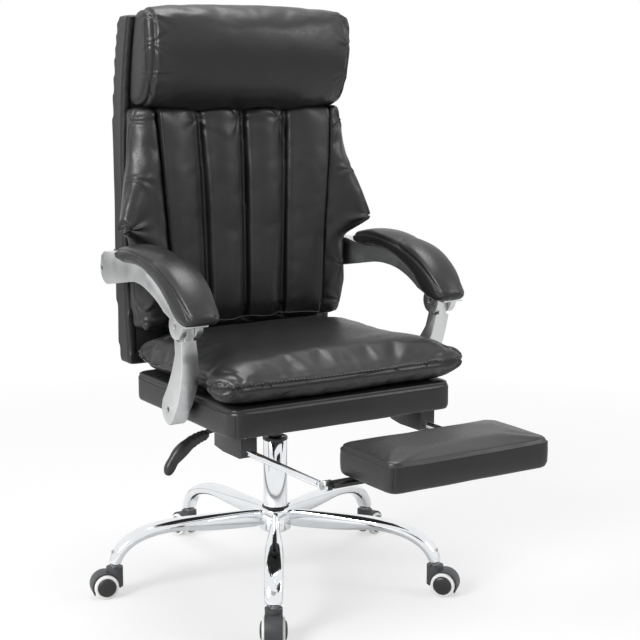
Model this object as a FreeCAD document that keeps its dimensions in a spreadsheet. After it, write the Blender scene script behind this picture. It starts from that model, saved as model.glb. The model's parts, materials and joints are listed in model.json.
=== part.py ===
import FreeCAD, Part
import math
import os
import re
import Sketcher
from FreeCAD import Placement, Rotation, Vector

# A high-backed reclining office chair with a pull-out footrest.
# Millimetres. The chair faces -Y, +X is the sitter's left and the origin is on the floor under the column.

doc = FreeCAD.newDocument("reclining_office_chair")
sizes = doc.addObject("Spreadsheet::Sheet", "Sizes")

DRIVING = {
    # chromed star base
    "arm_count": 5,
    "base_turn": 31,
    "stem_circle": 344,
    "hub_radius": 32,
    "hub_bottom": 108,
    "hub_top": 155,
    "arm_top": 153,
    "arm_root_width": 17,
    "arm_root_depth": 38,
    "arm_width": 37,
    "arm_depth": 25,
    "arm_end_height": 65,
    "socket_depth": 32,
    "running_gap": 0.08,
    "seating_gap": 0.3,
    # twin-wheel casters
    "wheel_radius": 25,
    "wheel_width": 10.8,
    "wheel_spacing": 22.4,
    "cap_radius": 18.5,
    "cap_rise": 4.6,
    "caster_trail": 20,
    "axle_radius": 4,
    "stem_radius": 5.5,
    "hood_width": 34.5,
    "hood_radius": 29,
    "hood_wall": 2.2,
    "hood_top": 61.5,
    "tower_radius": 17,
    "stem_collar_radius": 9,
    # gas column
    "column_radius": 25,
    "column_wall": 2,
    "column_bottom": 103,
    "collar_height": 7,
    "collar_depth": 50,
    "cylinder_radius": 14,
    "cylinder_wall": 2.5,
    "cylinder_bottom": 122,
    "rod_radius": 5,
    "bearing_height": 6,
    "valve_radius": 3.5,
    "valve_rise": 6,
    # pressed mechanism under the seat
    "pan_length": 190,
    "pan_width": 130,
    "pan_depth": 50,
    "pan_wall": 2.5,
    "flange_length": 226,
    "flange_width": 176,
    "socket_radius": 20,
    "socket_drop": 12,
    "lever_pivot_x": 48,
    "lever_bar": 8,
    "lever_reach": 162,
    # seat
    "seat_underside": 388,
    "seat_half_width": 250,
    "seat_front": 278,
    "seat_rear": 147,
    "base_pad_height": 60,
    "base_pad_corner": 22,
    "frame_board": 12,
    "frame_inset": 12,
    "rail_width": 16,
    "rail_height": 38,
    "cushion_height": 84,
    "cushion_seam": 44,
    "cushion_overhang": 19,
    "cushion_bulge": 25,
    # retracting footrest
    "rod_spread": 205,
    "slide_radius": 6.5,
    "slide_front": 500,
    "slide_rear": 145,
    "guide_front": 255,
    "guide_rear": 150,
    "guide_width": 34,
    "footrest_pivot": 515,
    "footrest_rear": 500,
    "footrest_front": 669,
    "footrest_half_width": 171,
    "footrest_height": 60,
    "footrest_inset": 14,
    # reclining back
    "hinge_y": 160,
    "hinge_x": 149,
    "hinge_plate": 4,
    "hinge_pin_radius": 4,
    "back_half_width": 246,
    "back_line": 186,
    "back_tuck": 14,
    "back_lean": 45,
    "shell_depth": 59,
    "board_thickness": 12,
    "board_inset": 18,
    "cushion_thickness": 88,
    "channel_depth": 32,
    "panel_half_width": 184,
    "panel_taper": 6,
    "panel_flare": 20,
    "wing_reach": 302,
    "headrest_half_width": 238,
    "headrest_thickness": 112,
    # linked armrests
    "low_pivot_y": 99,
    "arm_clearance": 4,
    "knuckle_y": 175,
    "rear_pivot_y": 200,
    "knuckle_radius": 25,
    "knuckle_pin_radius": 6,
    "tongue_width": 19,
    "tongue_radius": 15,
    "link_gap": 3.4,
    "link_lobe": 27,
    "pivot_bolt_radius": 5,
    "pad_side": 26,
    "pad_crown": 12,
}

# sizes that follow another one: how far from it they lie
FOLLOWING = {
    "seat_underside": {
        "column_top": -88,
        "lever_root_height": -52,
        "guide_bottom": -42,
        "lever_pivot_height": -36,
        "slide_height": -31,
        "cylinder_top": -17,
        "footrest_bottom": -17,
        "low_pivot_height": 32,
        "hinge_height": 42,
        "back_bottom": 65,
        "cushion_bottom": 141,
        "knuckle_height": 205,
        "rear_pivot_height": 270,
        "panel_knee": 314,
        "wing_height": 354,
        "back_waist": 372,
        "back_crest": 472,
        "cushion_top": 580,
        "headrest_bottom": 587,
        "back_top": 779,
        "headrest_top": 802,
    },
    "arm_start": {
        "pad_inner": -4,
        "link_inner": 12,
        "arm_inner": 18,
        "link_outer": 44,
        "arm_outer": 64,
        "pad_outer": 68,
    },
    "back_half_width": {
        "boss_inner": 6,
        "boss_outer": 47,
    },
}


def enter(row, alias, content):
    """One row of the sheet: a name and its value or formula."""
    sizes.set(f"A{row}", alias)
    sizes.set(f"B{row}", content)
    sizes.setAlias(f"B{row}", alias)


for row, (alias, value) in enumerate(DRIVING.items(), 1):
    enter(row, alias, str(value))
row += 1
enter(row, "arm_start", "=max(seat_half_width; back_half_width + arm_clearance)")
for datum, offsets in FOLLOWING.items():
    for alias, offset in offsets.items():
        row += 1
        sizes.set(f"C{row}", str(offset))
        enter(row, alias, f"={datum} + C{row}")
doc.recompute()

PLANES = {"top": "XY_Plane", "front": "XZ_Plane", "side": "YZ_Plane"}
TURNS = {
    "x": Rotation(Vector(0, 1, 0), 90),
    "y": Rotation(Vector(1, 0, 0), -90),
    "z": Rotation(),
}
finished = []


def bind(piece, formulas):
    """Tie properties of a piece to the sheet: the words of a formula are aliases."""
    for target, formula in formulas.items():
        text = re.sub(r"[a-z]+(_[a-z]+)+", lambda word: "Sizes." + word.group(), str(formula))
        piece.setExpression(target, text)


def keep(piece, label):
    """Name a finished sub-part: its label is its file's name."""
    piece.Label = label
    finished.append(piece)
    return piece


def place(piece, at, axis="z"):
    """Put a piece at three formulas, with its own Z along the named axis."""
    piece.Placement = Placement(Vector(), TURNS[axis])
    bind(piece, {f"Placement.Base.{name}": formula for name, formula in zip("xyz", at)})
    return piece


def sketch_on(body, view, name, offset="0"):
    """A sketch on one of the body's own planes, moved along the plane's normal."""
    plane = next(p for p in body.Origin.OriginFeatures if p.Role == PLANES[view])
    sketch = body.newObject("Sketcher::SketchObject", name)
    sketch.AttachmentSupport = [(plane, "")]
    sketch.MapMode = "FlatFace"
    bind(sketch, {"AttachmentOffset.Base.z": offset})
    return sketch


def circle(sketch, radius, across="0", up="0"):
    """A circle with its radius and centre tied to formulas."""
    index = sketch.addGeometry(Part.Circle(Vector(), Vector(0, 0, 1), 10))
    ties = {
        sketch.addConstraint(Sketcher.Constraint("Radius", index, 10)): radius,
        sketch.addConstraint(Sketcher.Constraint("DistanceX", -1, 1, index, 3, 0)): across,
        sketch.addConstraint(Sketcher.Constraint("DistanceY", -1, 1, index, 3, 0)): up,
    }
    for number, formula in ties.items():
        bind(sketch, {f"Constraints[{number}]": formula})


def edges_of(outline, lift):
    """Edges of a closed outline: a point is a straight run to it, a pair an arc through its first."""
    edges = []
    start = here = lift(outline[0])
    for step in outline[1:]:
        if isinstance(step[0], tuple):
            through, there = (lift(point) for point in step)
            edges.append(Part.Arc(here, through, there))
        else:
            there = lift(step)
            edges.append(Part.LineSegment(here, there))
        here = there
    if here.distanceToPoint(start) > 1e-6:
        edges.append(Part.LineSegment(here, start))
    return edges


def draw(sketch, outline):
    """Put a closed outline on a sketch."""
    sketch.addGeometry(edges_of(outline, lambda point: Vector(*point)))


def padded(body, sketch, name, length):
    """Grow a sketch along its normal."""
    pad = body.newObject("PartDesign::Pad", name)
    pad.Profile = sketch
    bind(pad, {"Length": length})
    sketch.Visibility = False
    return pad


def new_body(name):
    return doc.addObject("PartDesign::Body", name)


def turned(name, rings, at=("0", "0", "0"), axis="z"):
    """A turned piece: each ring has an outer radius, a bore or None, and a low and high end."""
    body = new_body(name)
    for number, (outer, inner, low, high) in enumerate(rings):
        ring = sketch_on(body, "top", f"{name}_ring{number}", low)
        circle(ring, outer)
        if inner:
            circle(ring, inner)
        padded(body, ring, f"{name}_turn{number}", f"{high} - ({low})")
    return place(body, at, axis)


def box(name, x, y, z):
    """A block between two formulas along each axis."""
    block = doc.addObject("Part::Box", name)
    spans = dict(zip(("Length", "Width", "Height"), (x, y, z)))
    bind(block, {size: f"{high} - ({low})" for size, (low, high) in spans.items()})
    return place(block, (x[0], y[0], z[0]))


def cylinder(name, radius, span, at, axis="z"):
    """A round bar along an axis, between two formulas measured from its place."""
    bar = doc.addObject("Part::Cylinder", name)
    bind(bar, {"Radius": radius, "Height": f"{span[1]} - ({span[0]})"})
    start = list(at)
    along = "xyz".index(axis)
    start[along] = f"{at[along]} + {span[0]}"
    return place(bar, start, axis)


def prism(name, view, outline, low, high):
    """A side, top or front outline grown between two formulas along the view's normal."""
    body = new_body(name)
    sketch = sketch_on(body, view, f"{name}_outline", low)
    draw(sketch, outline)
    padded(body, sketch, f"{name}_length", f"{high} - ({low})")
    return body


def cut(name, base, tools):
    """The base without the tools."""
    result = base
    for number, tool in enumerate(tools):
        step = doc.addObject("Part::Cut", name if number == len(tools) - 1 else f"{name}_cut{number}")
        step.Base = result
        step.Tool = tool
        result = step
    return result


def joined(name, pieces):
    result = doc.addObject("Part::MultiFuse", name)
    result.Shapes = pieces
    result.Refine = True
    return result


def common(name, pieces):
    result = doc.addObject("Part::MultiCommon", name)
    result.Shapes = pieces
    return result


def grouped(name, pieces):
    result = doc.addObject("Part::Compound", name)
    result.Links = pieces
    return result


def softened(name, base, radius, choose):
    """The base with a round of one radius on each edge that the rule picks."""
    doc.recompute()
    result = doc.addObject("Part::Fillet", name)
    result.Base = base
    edges = base.Shape.Edges
    result.Edges = [(i + 1, radius, radius) for i in range(len(edges)) if choose(edges[i])]
    return result


def loft(name, sections):
    """A soft or cast form through closed wires, with straight runs between them."""
    form = doc.addObject("Part::Feature", name)
    form.Shape = Part.makeLoft(sections, True, True)
    return form


def smoothed(stations, steps):
    """More stations on a smooth curve through the given rows of numbers."""
    ends = [stations[0]] + stations + [stations[-1]]
    rows = []
    for before, here, there, after in zip(ends, ends[1:], ends[2:], ends[3:]):
        for step in range(steps):
            share = step / steps
            rows.append(tuple(
                b + 0.5 * share * (c - a + share * (2 * a - 5 * b + 4 * c - d + share * (3 * (b - c) + d - a)))
                for a, b, c, d in zip(before, here, there, after)))
    return rows + [stations[-1]]


def wire(outline, at=Vector(), right=Vector(1, 0, 0), up=Vector(0, 1, 0)):
    """A closed outline in the plane of two directions through a point."""
    edges = edges_of(outline, lambda point: at + right * point[0] + up * point[1])
    return Part.Wire([edge.toShape() for edge in edges])


# Star base: a hub and five pressed arms that bend down to the casters
def arm_section(width, depth):
    """A flat-bottomed section with a rounded back, centred on the arm's line."""
    half, deep = width / 2, depth / 2
    foot = half * 0.75
    shoulder = half * 0.5
    return [
        (-foot, -deep),
        (foot, -deep),
        ((half * 0.97, -deep * 0.6), (half, deep * 0.1)),
        ((half * 0.86, deep * 0.75), (shoulder, deep)),
        (-shoulder, deep),
        ((-half * 0.86, deep * 0.75), (-half, deep * 0.1)),
        ((-half * 0.97, -deep * 0.6), (-foot, -deep)),
    ]


def star_arm(name, turn):
    """One arm lofted along its own curve, then turned about the column."""
    reach = sizes.stem_circle
    top = sizes.arm_top
    end = sizes.arm_end_height
    root_width, root_depth = sizes.arm_root_width, sizes.arm_root_depth
    width, depth = sizes.arm_width, sizes.arm_depth
    stations = [
        (sizes.hub_radius - 8, top - root_depth / 2, 0, root_width, root_depth),
        (0.33 * reach, top - root_depth / 2, 0, root_width + 5, root_depth - 1),
        (0.62 * reach, top - depth / 2 - 1, -4, width, depth),
        (0.82 * reach, top - depth / 2 - 11, -22, width, depth),
        (0.94 * reach, end + 47, -50, width, depth),
        (0.99 * reach, end + 22, -75, width, depth),
        (reach, end, -90, width, depth),
    ]
    sections = []
    for radius, height, slope, across, deep in smoothed(stations, 3):
        lean = math.radians(slope)
        back = Vector(-math.sin(lean), 0, math.cos(lean))
        sections.append(wire(arm_section(across, deep), Vector(radius, 0, height), Vector(0, 1, 0), back))
    arm = loft(name, sections)
    place(arm, ("0", "0", "0"))
    arm.Placement.Rotation = Rotation(Vector(0, 0, 1), 0)
    bind(arm, {"Placement.Rotation.Angle": turn})
    return arm


def spoke(number):
    """The compass turn of one arm, as a formula in degrees."""
    return f"270 - base_turn + {number} * 360 / arm_count"


def on_circle(number, along="0"):
    """A place on the stem circle, with an extra length outwards."""
    reach = f"(stem_circle + {along})"
    return f"{reach} * cos({spoke(number)})", f"{reach} * sin({spoke(number)})", "0"


count = int(sizes.arm_count)
arms = [star_arm(f"star_arm{k}", spoke(k)) for k in range(count)]
hub = cylinder("hub_barrel", "hub_radius", ("hub_bottom", "hub_top"), ("0", "0", "0"))
hub_bore = cylinder("hub_bore", "column_radius + running_gap", ("hub_bottom - 1", "hub_top + 1"), ("0", "0", "0"))
sockets = [
    cylinder(f"stem_socket{k}", "stem_radius + running_gap",
             ("arm_end_height - 1", "arm_end_height + socket_depth"), on_circle(k))
    for k in range(count)
]
star = joined("star_solid", [hub] + arms)
keep(cut("base_star", star, [hub_bore] + sockets), "base_star")

# Column: tube with a floor, a bearing, a plastic guide and the gas spring's parts
keep(turned("column_tube", [
    ("column_radius", "rod_radius + running_gap", "column_bottom", "column_bottom + column_wall"),
    ("column_radius", "column_radius - column_wall", "column_bottom + column_wall", "column_top"),
]), "column_tube")
keep(turned("column_collar", [
    ("column_radius - column_wall - running_gap", "cylinder_radius + running_gap",
     "column_top - collar_depth", "column_top"),
    ("column_radius + 1", "cylinder_radius + running_gap", "column_top", "column_top + collar_height"),
]), "column_collar")
bearing_low = "column_bottom + column_wall"
bearing_top = f"{bearing_low} + bearing_height"
keep(turned("thrust_bearing", [
    ("rod_radius + 8", "rod_radius + running_gap", bearing_low, bearing_top),
]), "thrust_bearing")
piston_head = "cylinder_radius - cylinder_wall - running_gap"
keep(turned("piston_rod", [
    ("rod_radius", None, "column_bottom - 4", "cylinder_top - 70"),
    ("rod_radius + 4", None, f"{bearing_top} + running_gap", f"{bearing_top} + 4"),
    ("rod_radius + 3", None, "column_bottom - 4", "column_bottom - running_gap"),
    (piston_head, None, "cylinder_top - 84", "cylinder_top - 70"),
]), "piston_rod")
keep(turned("gas_cylinder", [
    ("cylinder_radius", "rod_radius + running_gap", "cylinder_bottom", "cylinder_bottom + 8"),
    ("cylinder_radius", "cylinder_radius - cylinder_wall", "cylinder_bottom + 8", "cylinder_top - 12"),
    ("cylinder_radius", "valve_radius + running_gap", "cylinder_top - 12", "cylinder_top"),
]), "gas_cylinder")
keep(turned("valve_pin", [
    ("valve_radius", None, "cylinder_top - 10", "cylinder_top + valve_rise"),
]), "valve_pin")


# Casters: each trails outwards from its stem
def at_caster(piece, number):
    piece.Placement = Placement(Vector(), Rotation(Vector(0, 0, 1), 0))
    across, along, low = on_circle(number)
    bind(piece, {"Placement.Base.x": across, "Placement.Base.y": along, "Placement.Rotation.Angle": spoke(number)})
    return piece


axle_place = ("caster_trail", "0", "wheel_radius")
wheel_face = "wheel_spacing / 2"
wheel_end = "(wheel_spacing / 2 + wheel_width)"
for k in range(count):
    tag = f"caster_{k + 1}"
    fender = cylinder(f"{tag}_fender", "hood_radius", ("-hood_width / 2", "hood_width / 2"), axle_place, "y")
    tower = cylinder(f"{tag}_tower", "tower_radius", ("wheel_radius - 4", "hood_top"), ("0", "0", "0"))
    wells = [
        cylinder(f"{tag}_well_a", "hood_radius - hood_wall",
                 (f"{wheel_face} - 0.4", "hood_width"), axle_place, "y"),
        cylinder(f"{tag}_well_b", "hood_radius - hood_wall",
                 ("-hood_width", f"-{wheel_face} + 0.4"), axle_place, "y"),
        box(f"{tag}_open", ("-2 * hood_radius", "3 * hood_radius"), ("-hood_width", "hood_width"),
            ("-hood_radius", "wheel_radius * 0.4")),
        box(f"{tag}_front", ("-2 * hood_radius", "caster_trail"), ("-hood_width", "hood_width"),
            ("-hood_radius", "wheel_radius * 0.84")),
        cylinder(f"{tag}_stem_bore", "stem_radius", ("wheel_radius + 12", "hood_top + 1"), ("0", "0", "0")),
        cylinder(f"{tag}_axle_bore", "axle_radius + running_gap",
                 ("-hood_width", "hood_width"), axle_place, "y"),
    ]
    hood = cut(f"{tag}_hood", joined(f"{tag}_shell", [fender, tower]), wells)
    keep(at_caster(hood, k), f"{tag}_hood")
    keep(turned(f"{tag}_stem", [
        ("stem_radius", None, "wheel_radius + 12", "arm_end_height + socket_depth - 2"),
        ("stem_collar_radius", None, "hood_top", "arm_end_height - seating_gap"),
    ], on_circle(k)), f"{tag}_stem")
    treads = [
        cylinder(f"{tag}_tread_a", "wheel_radius", (wheel_face, wheel_end), axle_place, "y"),
        cylinder(f"{tag}_tread_b", "wheel_radius", (f"-{wheel_end}", f"-{wheel_face}"), axle_place, "y"),
    ]
    bore = cylinder(f"{tag}_wheel_bore", "axle_radius", ("-wheel_radius", "wheel_radius"), axle_place, "y")
    wheels = cut(f"{tag}_wheels", grouped(f"{tag}_treads", treads), [bore])
    keep(at_caster(wheels, k), f"{tag}_wheels")
    caps = []
    for side in (-1, 1):
        cap = doc.addObject("Part::Cone", f"{tag}_cap")
        bind(cap, {"Radius1": "cap_radius", "Radius2": "cap_radius * 0.7", "Height": "cap_rise"})
        place(cap, ("caster_trail", f"{side} * {wheel_end}", "wheel_radius"), "y")
        cap.Placement.Rotation = Rotation(Vector(1, 0, 0), -90 * side)
        caps.append(cap)
    axle = cylinder(f"{tag}_axle", "axle_radius", (f"-{wheel_end}", wheel_end), axle_place, "y")
    keep(at_caster(grouped(f"{tag}_hub", caps + [axle]), k), f"{tag}_hub")


def rounded(left, right, low, high, radius):
    """A rectangle with four round corners."""
    bite = radius * (1 - math.sqrt(0.5))
    return [
        (left + radius, low),
        (right - radius, low),
        ((right - bite, low + bite), (right, low + radius)),
        (right, high - radius),
        ((right - bite, high - bite), (right - radius, high)),
        (left + radius, high),
        ((left + bite, high - bite), (left, high - radius)),
        (left, low + radius),
        ((left + bite, low + bite), (left + radius, low)),
    ]


def both_sides(build):
    """The same piece on the sitter's right and left."""
    return [build(side) for side in (-1, 1)]


# Pressed mechanism with the column's socket and the lever's ears
pan_floor = "(seat_underside - pan_depth)"
half_pan = sizes.pan_width / 2
half_long = sizes.pan_length / 2
wall = sizes.pan_wall
pan = prism("pan_outside", "top", rounded(-half_pan, half_pan, -half_long, half_long, 18),
            pan_floor, "seat_underside")
flange = prism("pan_flange", "top",
               rounded(-sizes.flange_width / 2, sizes.flange_width / 2,
                       -sizes.flange_length / 2, sizes.flange_length / 2, 14),
               "seat_underside - pan_wall", "seat_underside")
hollow = prism("pan_hollow", "top",
               rounded(-half_pan + wall, half_pan - wall, -half_long + wall, half_long - wall, 16),
               f"{pan_floor} + pan_wall", "seat_underside + 1")
socket = cylinder("pan_socket", "socket_radius", (f"{pan_floor} - socket_drop", "cylinder_top - 6"),
                  ("0", "0", "0"))
ears = [
    box(f"lever_ear{side}", ("-lever_pivot_x - 6", "-lever_pivot_x + 6"),
        (f"{side} * 8.5 - 1.5", f"{side} * 8.5 + 1.5"), (pan_floor, "lever_pivot_height + 6"))
    for side in (-1, 1)
]
bolt_places = [
    (f"{across} * (flange_width / 2 - 16)", f"{along} * (flange_length / 2 - 9)")
    for across in (-1, 1) for along in (-1, 1)
]
pan_cuts = [
    cylinder("socket_bore", "cylinder_radius", (f"{pan_floor} - socket_drop - 1", "cylinder_top + 1"),
             ("0", "0", "0")),
    box("lever_slot", ("-pan_width / 2 - 1", "-pan_width / 2 + pan_wall + 1"),
        ("-lever_bar", "lever_bar"), ("lever_pivot_height - 12", "lever_pivot_height + 8")),
    cylinder("lever_pin_bore", "2.5", ("-14", "14"), ("-lever_pivot_x", "0", "lever_pivot_height"), "y"),
] + [
    cylinder(f"flange_hole{n}", "4", ("seat_underside - 10", "seat_underside + 1"), (x, y, "0"))
    for n, (x, y) in enumerate(bolt_places)
]
pan_shell = cut("pan_shell", joined("pan_pressed", [pan, flange]), [hollow])
mechanism = joined("pan_assembly", [pan_shell, socket] + ears)
keep(cut("seat_mechanism", mechanism, pan_cuts), "seat_mechanism")

bolts = [
    turned(f"mechanism_bolt{n}", [
        ("4", None, "seat_underside - pan_wall - 5", "seat_underside + frame_board"),
        ("7", None, "seat_underside - pan_wall - 5", "seat_underside - pan_wall"),
    ], (x, y, "0"))
    for n, (x, y) in enumerate(bolt_places)
]
keep(grouped("mechanism_bolts", bolts), "mechanism_bolts")

# Height lever: a bent bar over the valve and a moulded paddle
pivot_x = -sizes.lever_pivot_x
pivot_z = sizes.lever_pivot_height
half_bar = sizes.lever_bar / 2
press = sizes.cylinder_top + sizes.valve_rise + sizes.seating_gap
reach = -sizes.lever_reach
root_z = sizes.lever_root_height
bar = prism("lever_blank", "front", [
    (reach, root_z - half_bar),
    (pivot_x - 14, pivot_z - half_bar - 1),
    (pivot_x + 4, pivot_z - half_bar),
    (-18, press),
    (7, press),
    (7, press + half_bar),
    (-20, press + half_bar),
    (pivot_x, pivot_z + half_bar + 1),
    (pivot_x - 14, pivot_z + half_bar),
    (reach, root_z + half_bar),
], "-lever_bar / 2 - 1", "lever_bar / 2 + 1")
bar_bore = cylinder("lever_bar_bore", "2.5 + running_gap", ("-10", "10"),
                    ("-lever_pivot_x", "0", "lever_pivot_height"), "y")
keep(cut("lever_bar", bar, [bar_bore]), "lever_bar")

paddle = prism("paddle_blank", "front", [
    (reach + 12, root_z + 9),
    (reach - 20, root_z + 1),
    ((reach - 52, root_z - 11), (reach - 76, root_z - 31)),
    ((reach - 83, root_z - 38), (reach - 81, root_z - 46)),
    ((reach - 91, root_z - 54), (reach - 87, root_z - 71)),
    ((reach - 78, root_z - 80), (reach - 68, root_z - 72)),
    ((reach - 50, root_z - 50), (reach - 24, root_z - 38)),
    (reach + 12, root_z - 11),
], "-11", "11")
ribs = [
    box(f"paddle_rib{n}", (f"-lever_reach - 12 + {n} * 7", f"-lever_reach - 9 + {n} * 7"), ("-12", "12"),
        (f"lever_root_height - 20 + {n} * 3", f"lever_root_height + 6 + {n} * 2"))
    for n in range(4)
]
paddle_bore = box("paddle_bore", ("-lever_reach - 1", "-lever_reach + 20"),
                  ("-lever_bar / 2 - 1", "lever_bar / 2 + 1"),
                  ("lever_root_height - lever_bar / 2", "lever_root_height + lever_bar"))
keep(cut("lever_paddle", joined("paddle_ribbed", [paddle] + ribs), [paddle_bore]), "lever_paddle")


# Seat: plywood frame, upholstered base pad and crowned cushion
frame_side = sizes.seat_half_width - sizes.frame_inset
frame_front = sizes.seat_front - sizes.frame_inset
frame_rear = sizes.seat_rear - sizes.frame_inset


def frame_solid(name, grow):
    """The plywood board with its side rails, grown all round for its pocket."""
    board = prism(f"{name}_board", "top",
                  rounded(-frame_side - grow, frame_side + grow, -frame_front - grow, frame_rear + grow, 14),
                  f"seat_underside - {grow * 3}", f"seat_underside + frame_board + {grow}")
    rails = [
        box(f"{name}_rail{side}",
            (f"{side} * (seat_half_width - frame_inset - rail_width / 2) - rail_width / 2 - {grow}",
             f"{side} * (seat_half_width - frame_inset - rail_width / 2) + rail_width / 2 + {grow}"),
            (f"-low_pivot_y - 45 - {grow}", f"-low_pivot_y + 45 + {grow}"),
            ("seat_underside + 1", f"seat_underside + frame_board + rail_height + {grow}"))
        for side in (-1, 1)
    ]
    return joined(f"{name}_joined", [board] + rails)


low_pivots = ("0", "-low_pivot_y", "low_pivot_height")
frame_cuts = [
    cylinder(f"frame_hole{n}", "4", ("seat_underside - 1", "seat_underside + 30"), (x, y, "0"))
    for n, (x, y) in enumerate(bolt_places)
]
frame_cuts.append(cylinder("frame_bolt_bore", "pivot_bolt_radius", ("-seat_half_width", "seat_half_width"),
                           low_pivots, "x"))
keep(cut("seat_frame", frame_solid("frame", 0), frame_cuts), "seat_frame")

base_pad = prism("base_pad_block", "top",
                 rounded(-sizes.seat_half_width, sizes.seat_half_width, -sizes.seat_front, sizes.seat_rear,
                         sizes.base_pad_corner),
                 "seat_underside", "seat_underside + base_pad_height")
base_top = sizes.seat_underside + sizes.base_pad_height
base_pad = softened("base_pad_soft", base_pad, 7,
                    lambda edge: abs(edge.BoundBox.ZMin - base_top) < 0.01)
base_cuts = [
    frame_solid("frame_pocket", 0.3),
    cylinder("base_bolt_bore", "pivot_bolt_radius + seating_gap", ("-seat_half_width - 1", "seat_half_width + 1"),
             low_pivots, "x"),
]
keep(cut("seat_base_pad", base_pad, base_cuts), "seat_base_pad")


def seat_outline(inset):
    """Straight sides beside the arm links, fuller in front of them, with a bowed front."""
    side, full = sizes.seat_half_width, sizes.seat_half_width + sizes.cushion_bulge
    front, rear = -sizes.seat_front - sizes.cushion_overhang, sizes.seat_rear + 5
    start, middle = front + 0.27 * (rear - front), front + 0.14 * (rear - front)
    centre = (front + rear) / 2
    narrow = 1 - inset / side
    short = 1 - inset / (rear - centre)

    def at(x, y):
        return x * narrow, centre + (y - centre) * short

    return [
        at(side - 30, rear),
        (at(side - 9, rear - 9), at(side, rear - 30)),
        at(side, start),
        (at(side + 0.3 * (full - side), (start + middle) / 2), at(full, middle)),
        (at(full - 9, front + 18), at(full - 45, front + 7)),
        (at(0, front), at(-full + 45, front + 7)),
        (at(-full + 9, front + 18), at(-full, middle)),
        (at(-side - 0.3 * (full - side), (start + middle) / 2), at(-side, start)),
        at(-side, rear - 30),
        (at(-side + 9, rear - 9), at(-side + 30, rear)),
    ]


cushion_low = base_top + sizes.seating_gap


def crowned(low, seam, top, foot_inset, crown_inset):
    """Heights and insets of a cushion's layers: two quarter rounds that meet at the seam."""
    layers = []
    for degrees in (-78, -50, -22):
        turn = math.radians(degrees)
        layers.append((seam + (seam - low) * math.sin(turn) / math.sin(math.radians(78)),
                       foot_inset * (1 - math.cos(turn))))
    for degrees in (0, 22, 46, 66, 82):
        turn = math.radians(degrees)
        layers.append((seam + (top - seam) * math.sin(turn) / math.sin(math.radians(82)),
                       crown_inset * (1 - math.cos(turn))))
    return layers


seat_layers = crowned(cushion_low, cushion_low + sizes.cushion_seam, cushion_low + sizes.cushion_height, 60, 120)
keep(loft("seat_cushion", [
    wire(seat_outline(inset), Vector(0, 0, height)) for height, inset in seat_layers
]), "seat_cushion")


# Footrest: two rods in guides, a folding frame and its pad
def rod_guide(side):
    """A moulded guide under the seat's front edge."""
    block = prism(f"guide_block{side}", "side", [
        (-sizes.guide_front, sizes.seat_underside),
        (-sizes.guide_front, sizes.guide_bottom + 7),
        ((-sizes.guide_front + 2, sizes.guide_bottom + 2), (-sizes.guide_front + 7, sizes.guide_bottom)),
        (-sizes.guide_rear - 34, sizes.guide_bottom),
        (-sizes.guide_rear, sizes.guide_bottom + 5),
        (-sizes.guide_rear, sizes.seat_underside),
    ], f"{side} * rod_spread - guide_width / 2", f"{side} * rod_spread + guide_width / 2")
    bore = cylinder(f"guide_bore{side}", "slide_radius + running_gap", ("-guide_front - 1", "-guide_rear + 1"),
                    (f"{side} * rod_spread", "0", "slide_height"), "y")
    return cut(f"guide_cut{side}", block, [bore])


keep(grouped("rod_guides", both_sides(rod_guide)), "rod_guides")

pivot_line = ("0", "-footrest_pivot", "slide_height")
eye = "slide_radius + 3"


def slide_rod(side):
    """A chromed rod with a stop behind its guide and a flattened eye in front."""
    x = f"{side} * rod_spread"
    at = (x, "0", "slide_height")
    eye_at = (x, "-footrest_pivot", "slide_height")
    pieces = [
        cylinder(f"rod_bar{side}", "slide_radius", ("-slide_front", "-slide_rear"), at, "y"),
        cylinder(f"rod_stop{side}", "slide_radius + 2.5", ("-guide_rear + seating_gap", "-slide_rear"), at, "y"),
        cylinder(f"rod_eye{side}", eye, ("-3", "3"), eye_at, "x"),
        box(f"rod_neck{side}", (f"{x} - 3", f"{x} + 3"), ("-footrest_pivot", "-slide_front + 3"),
            ("slide_height - 5.5", "slide_height + 5.5")),
    ]
    bore = cylinder(f"rod_eye_bore{side}", "4", ("-5", "5"), eye_at, "x")
    return cut(f"rod_bored{side}", joined(f"rod_joined{side}", pieces), [bore])


keep(grouped("footrest_rods", both_sides(slide_rod)), "footrest_rods")

ear_inner = "(rod_spread - 14)"
ear_outer = "(rod_spread - 3 - seating_gap)"
pins = [
    turned(f"footrest_pin{side}", [
        ("4", None, f"{ear_inner} - rod_spread + 1", "3"),
        ("6.5", None, "3", "5.5"),
    ], (f"{side} * rod_spread", "-footrest_pivot", "slide_height"), "x")
    for side in (-1, 1)
]
pins[0].Placement.Rotation = Rotation(Vector(0, 1, 0), -90)
keep(grouped("footrest_pins", pins), "footrest_pins")

frame_pieces = [
    box("crossbar", (f"-{ear_inner} - 2", f"{ear_inner} + 2"), ("-footrest_pivot - 15", "-footrest_pivot + 15"),
        ("slide_height - 3", "slide_height + 3")),
]
for side in (-1, 1):
    span = (ear_inner, ear_outer) if side > 0 else (f"-{ear_outer}", f"-{ear_inner}")
    frame_pieces.append(cylinder(f"frame_ear{side}", eye, span, pivot_line, "x"))
    frame_pieces.append(box(f"frame_stand{side}", (f"{side} * 110 - 16", f"{side} * 110 + 16"),
                            ("-footrest_pivot - 15", "-footrest_rear - 2"), ("slide_height + 2", "footrest_bottom")))
frame_bores = [
    cylinder(f"frame_bore{side}", "4 + running_gap",
             (f"{side} * rod_spread - 16", f"{side} * rod_spread + 16"), pivot_line, "x")
    for side in (-1, 1)
]
keep(cut("footrest_frame", joined("frame_welded", frame_pieces), frame_bores), "footrest_frame")


def footrest_outline(inset):
    side = sizes.footrest_half_width - inset
    return rounded(-side, side, -sizes.footrest_front + inset, -sizes.footrest_rear - inset, 20)


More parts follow.
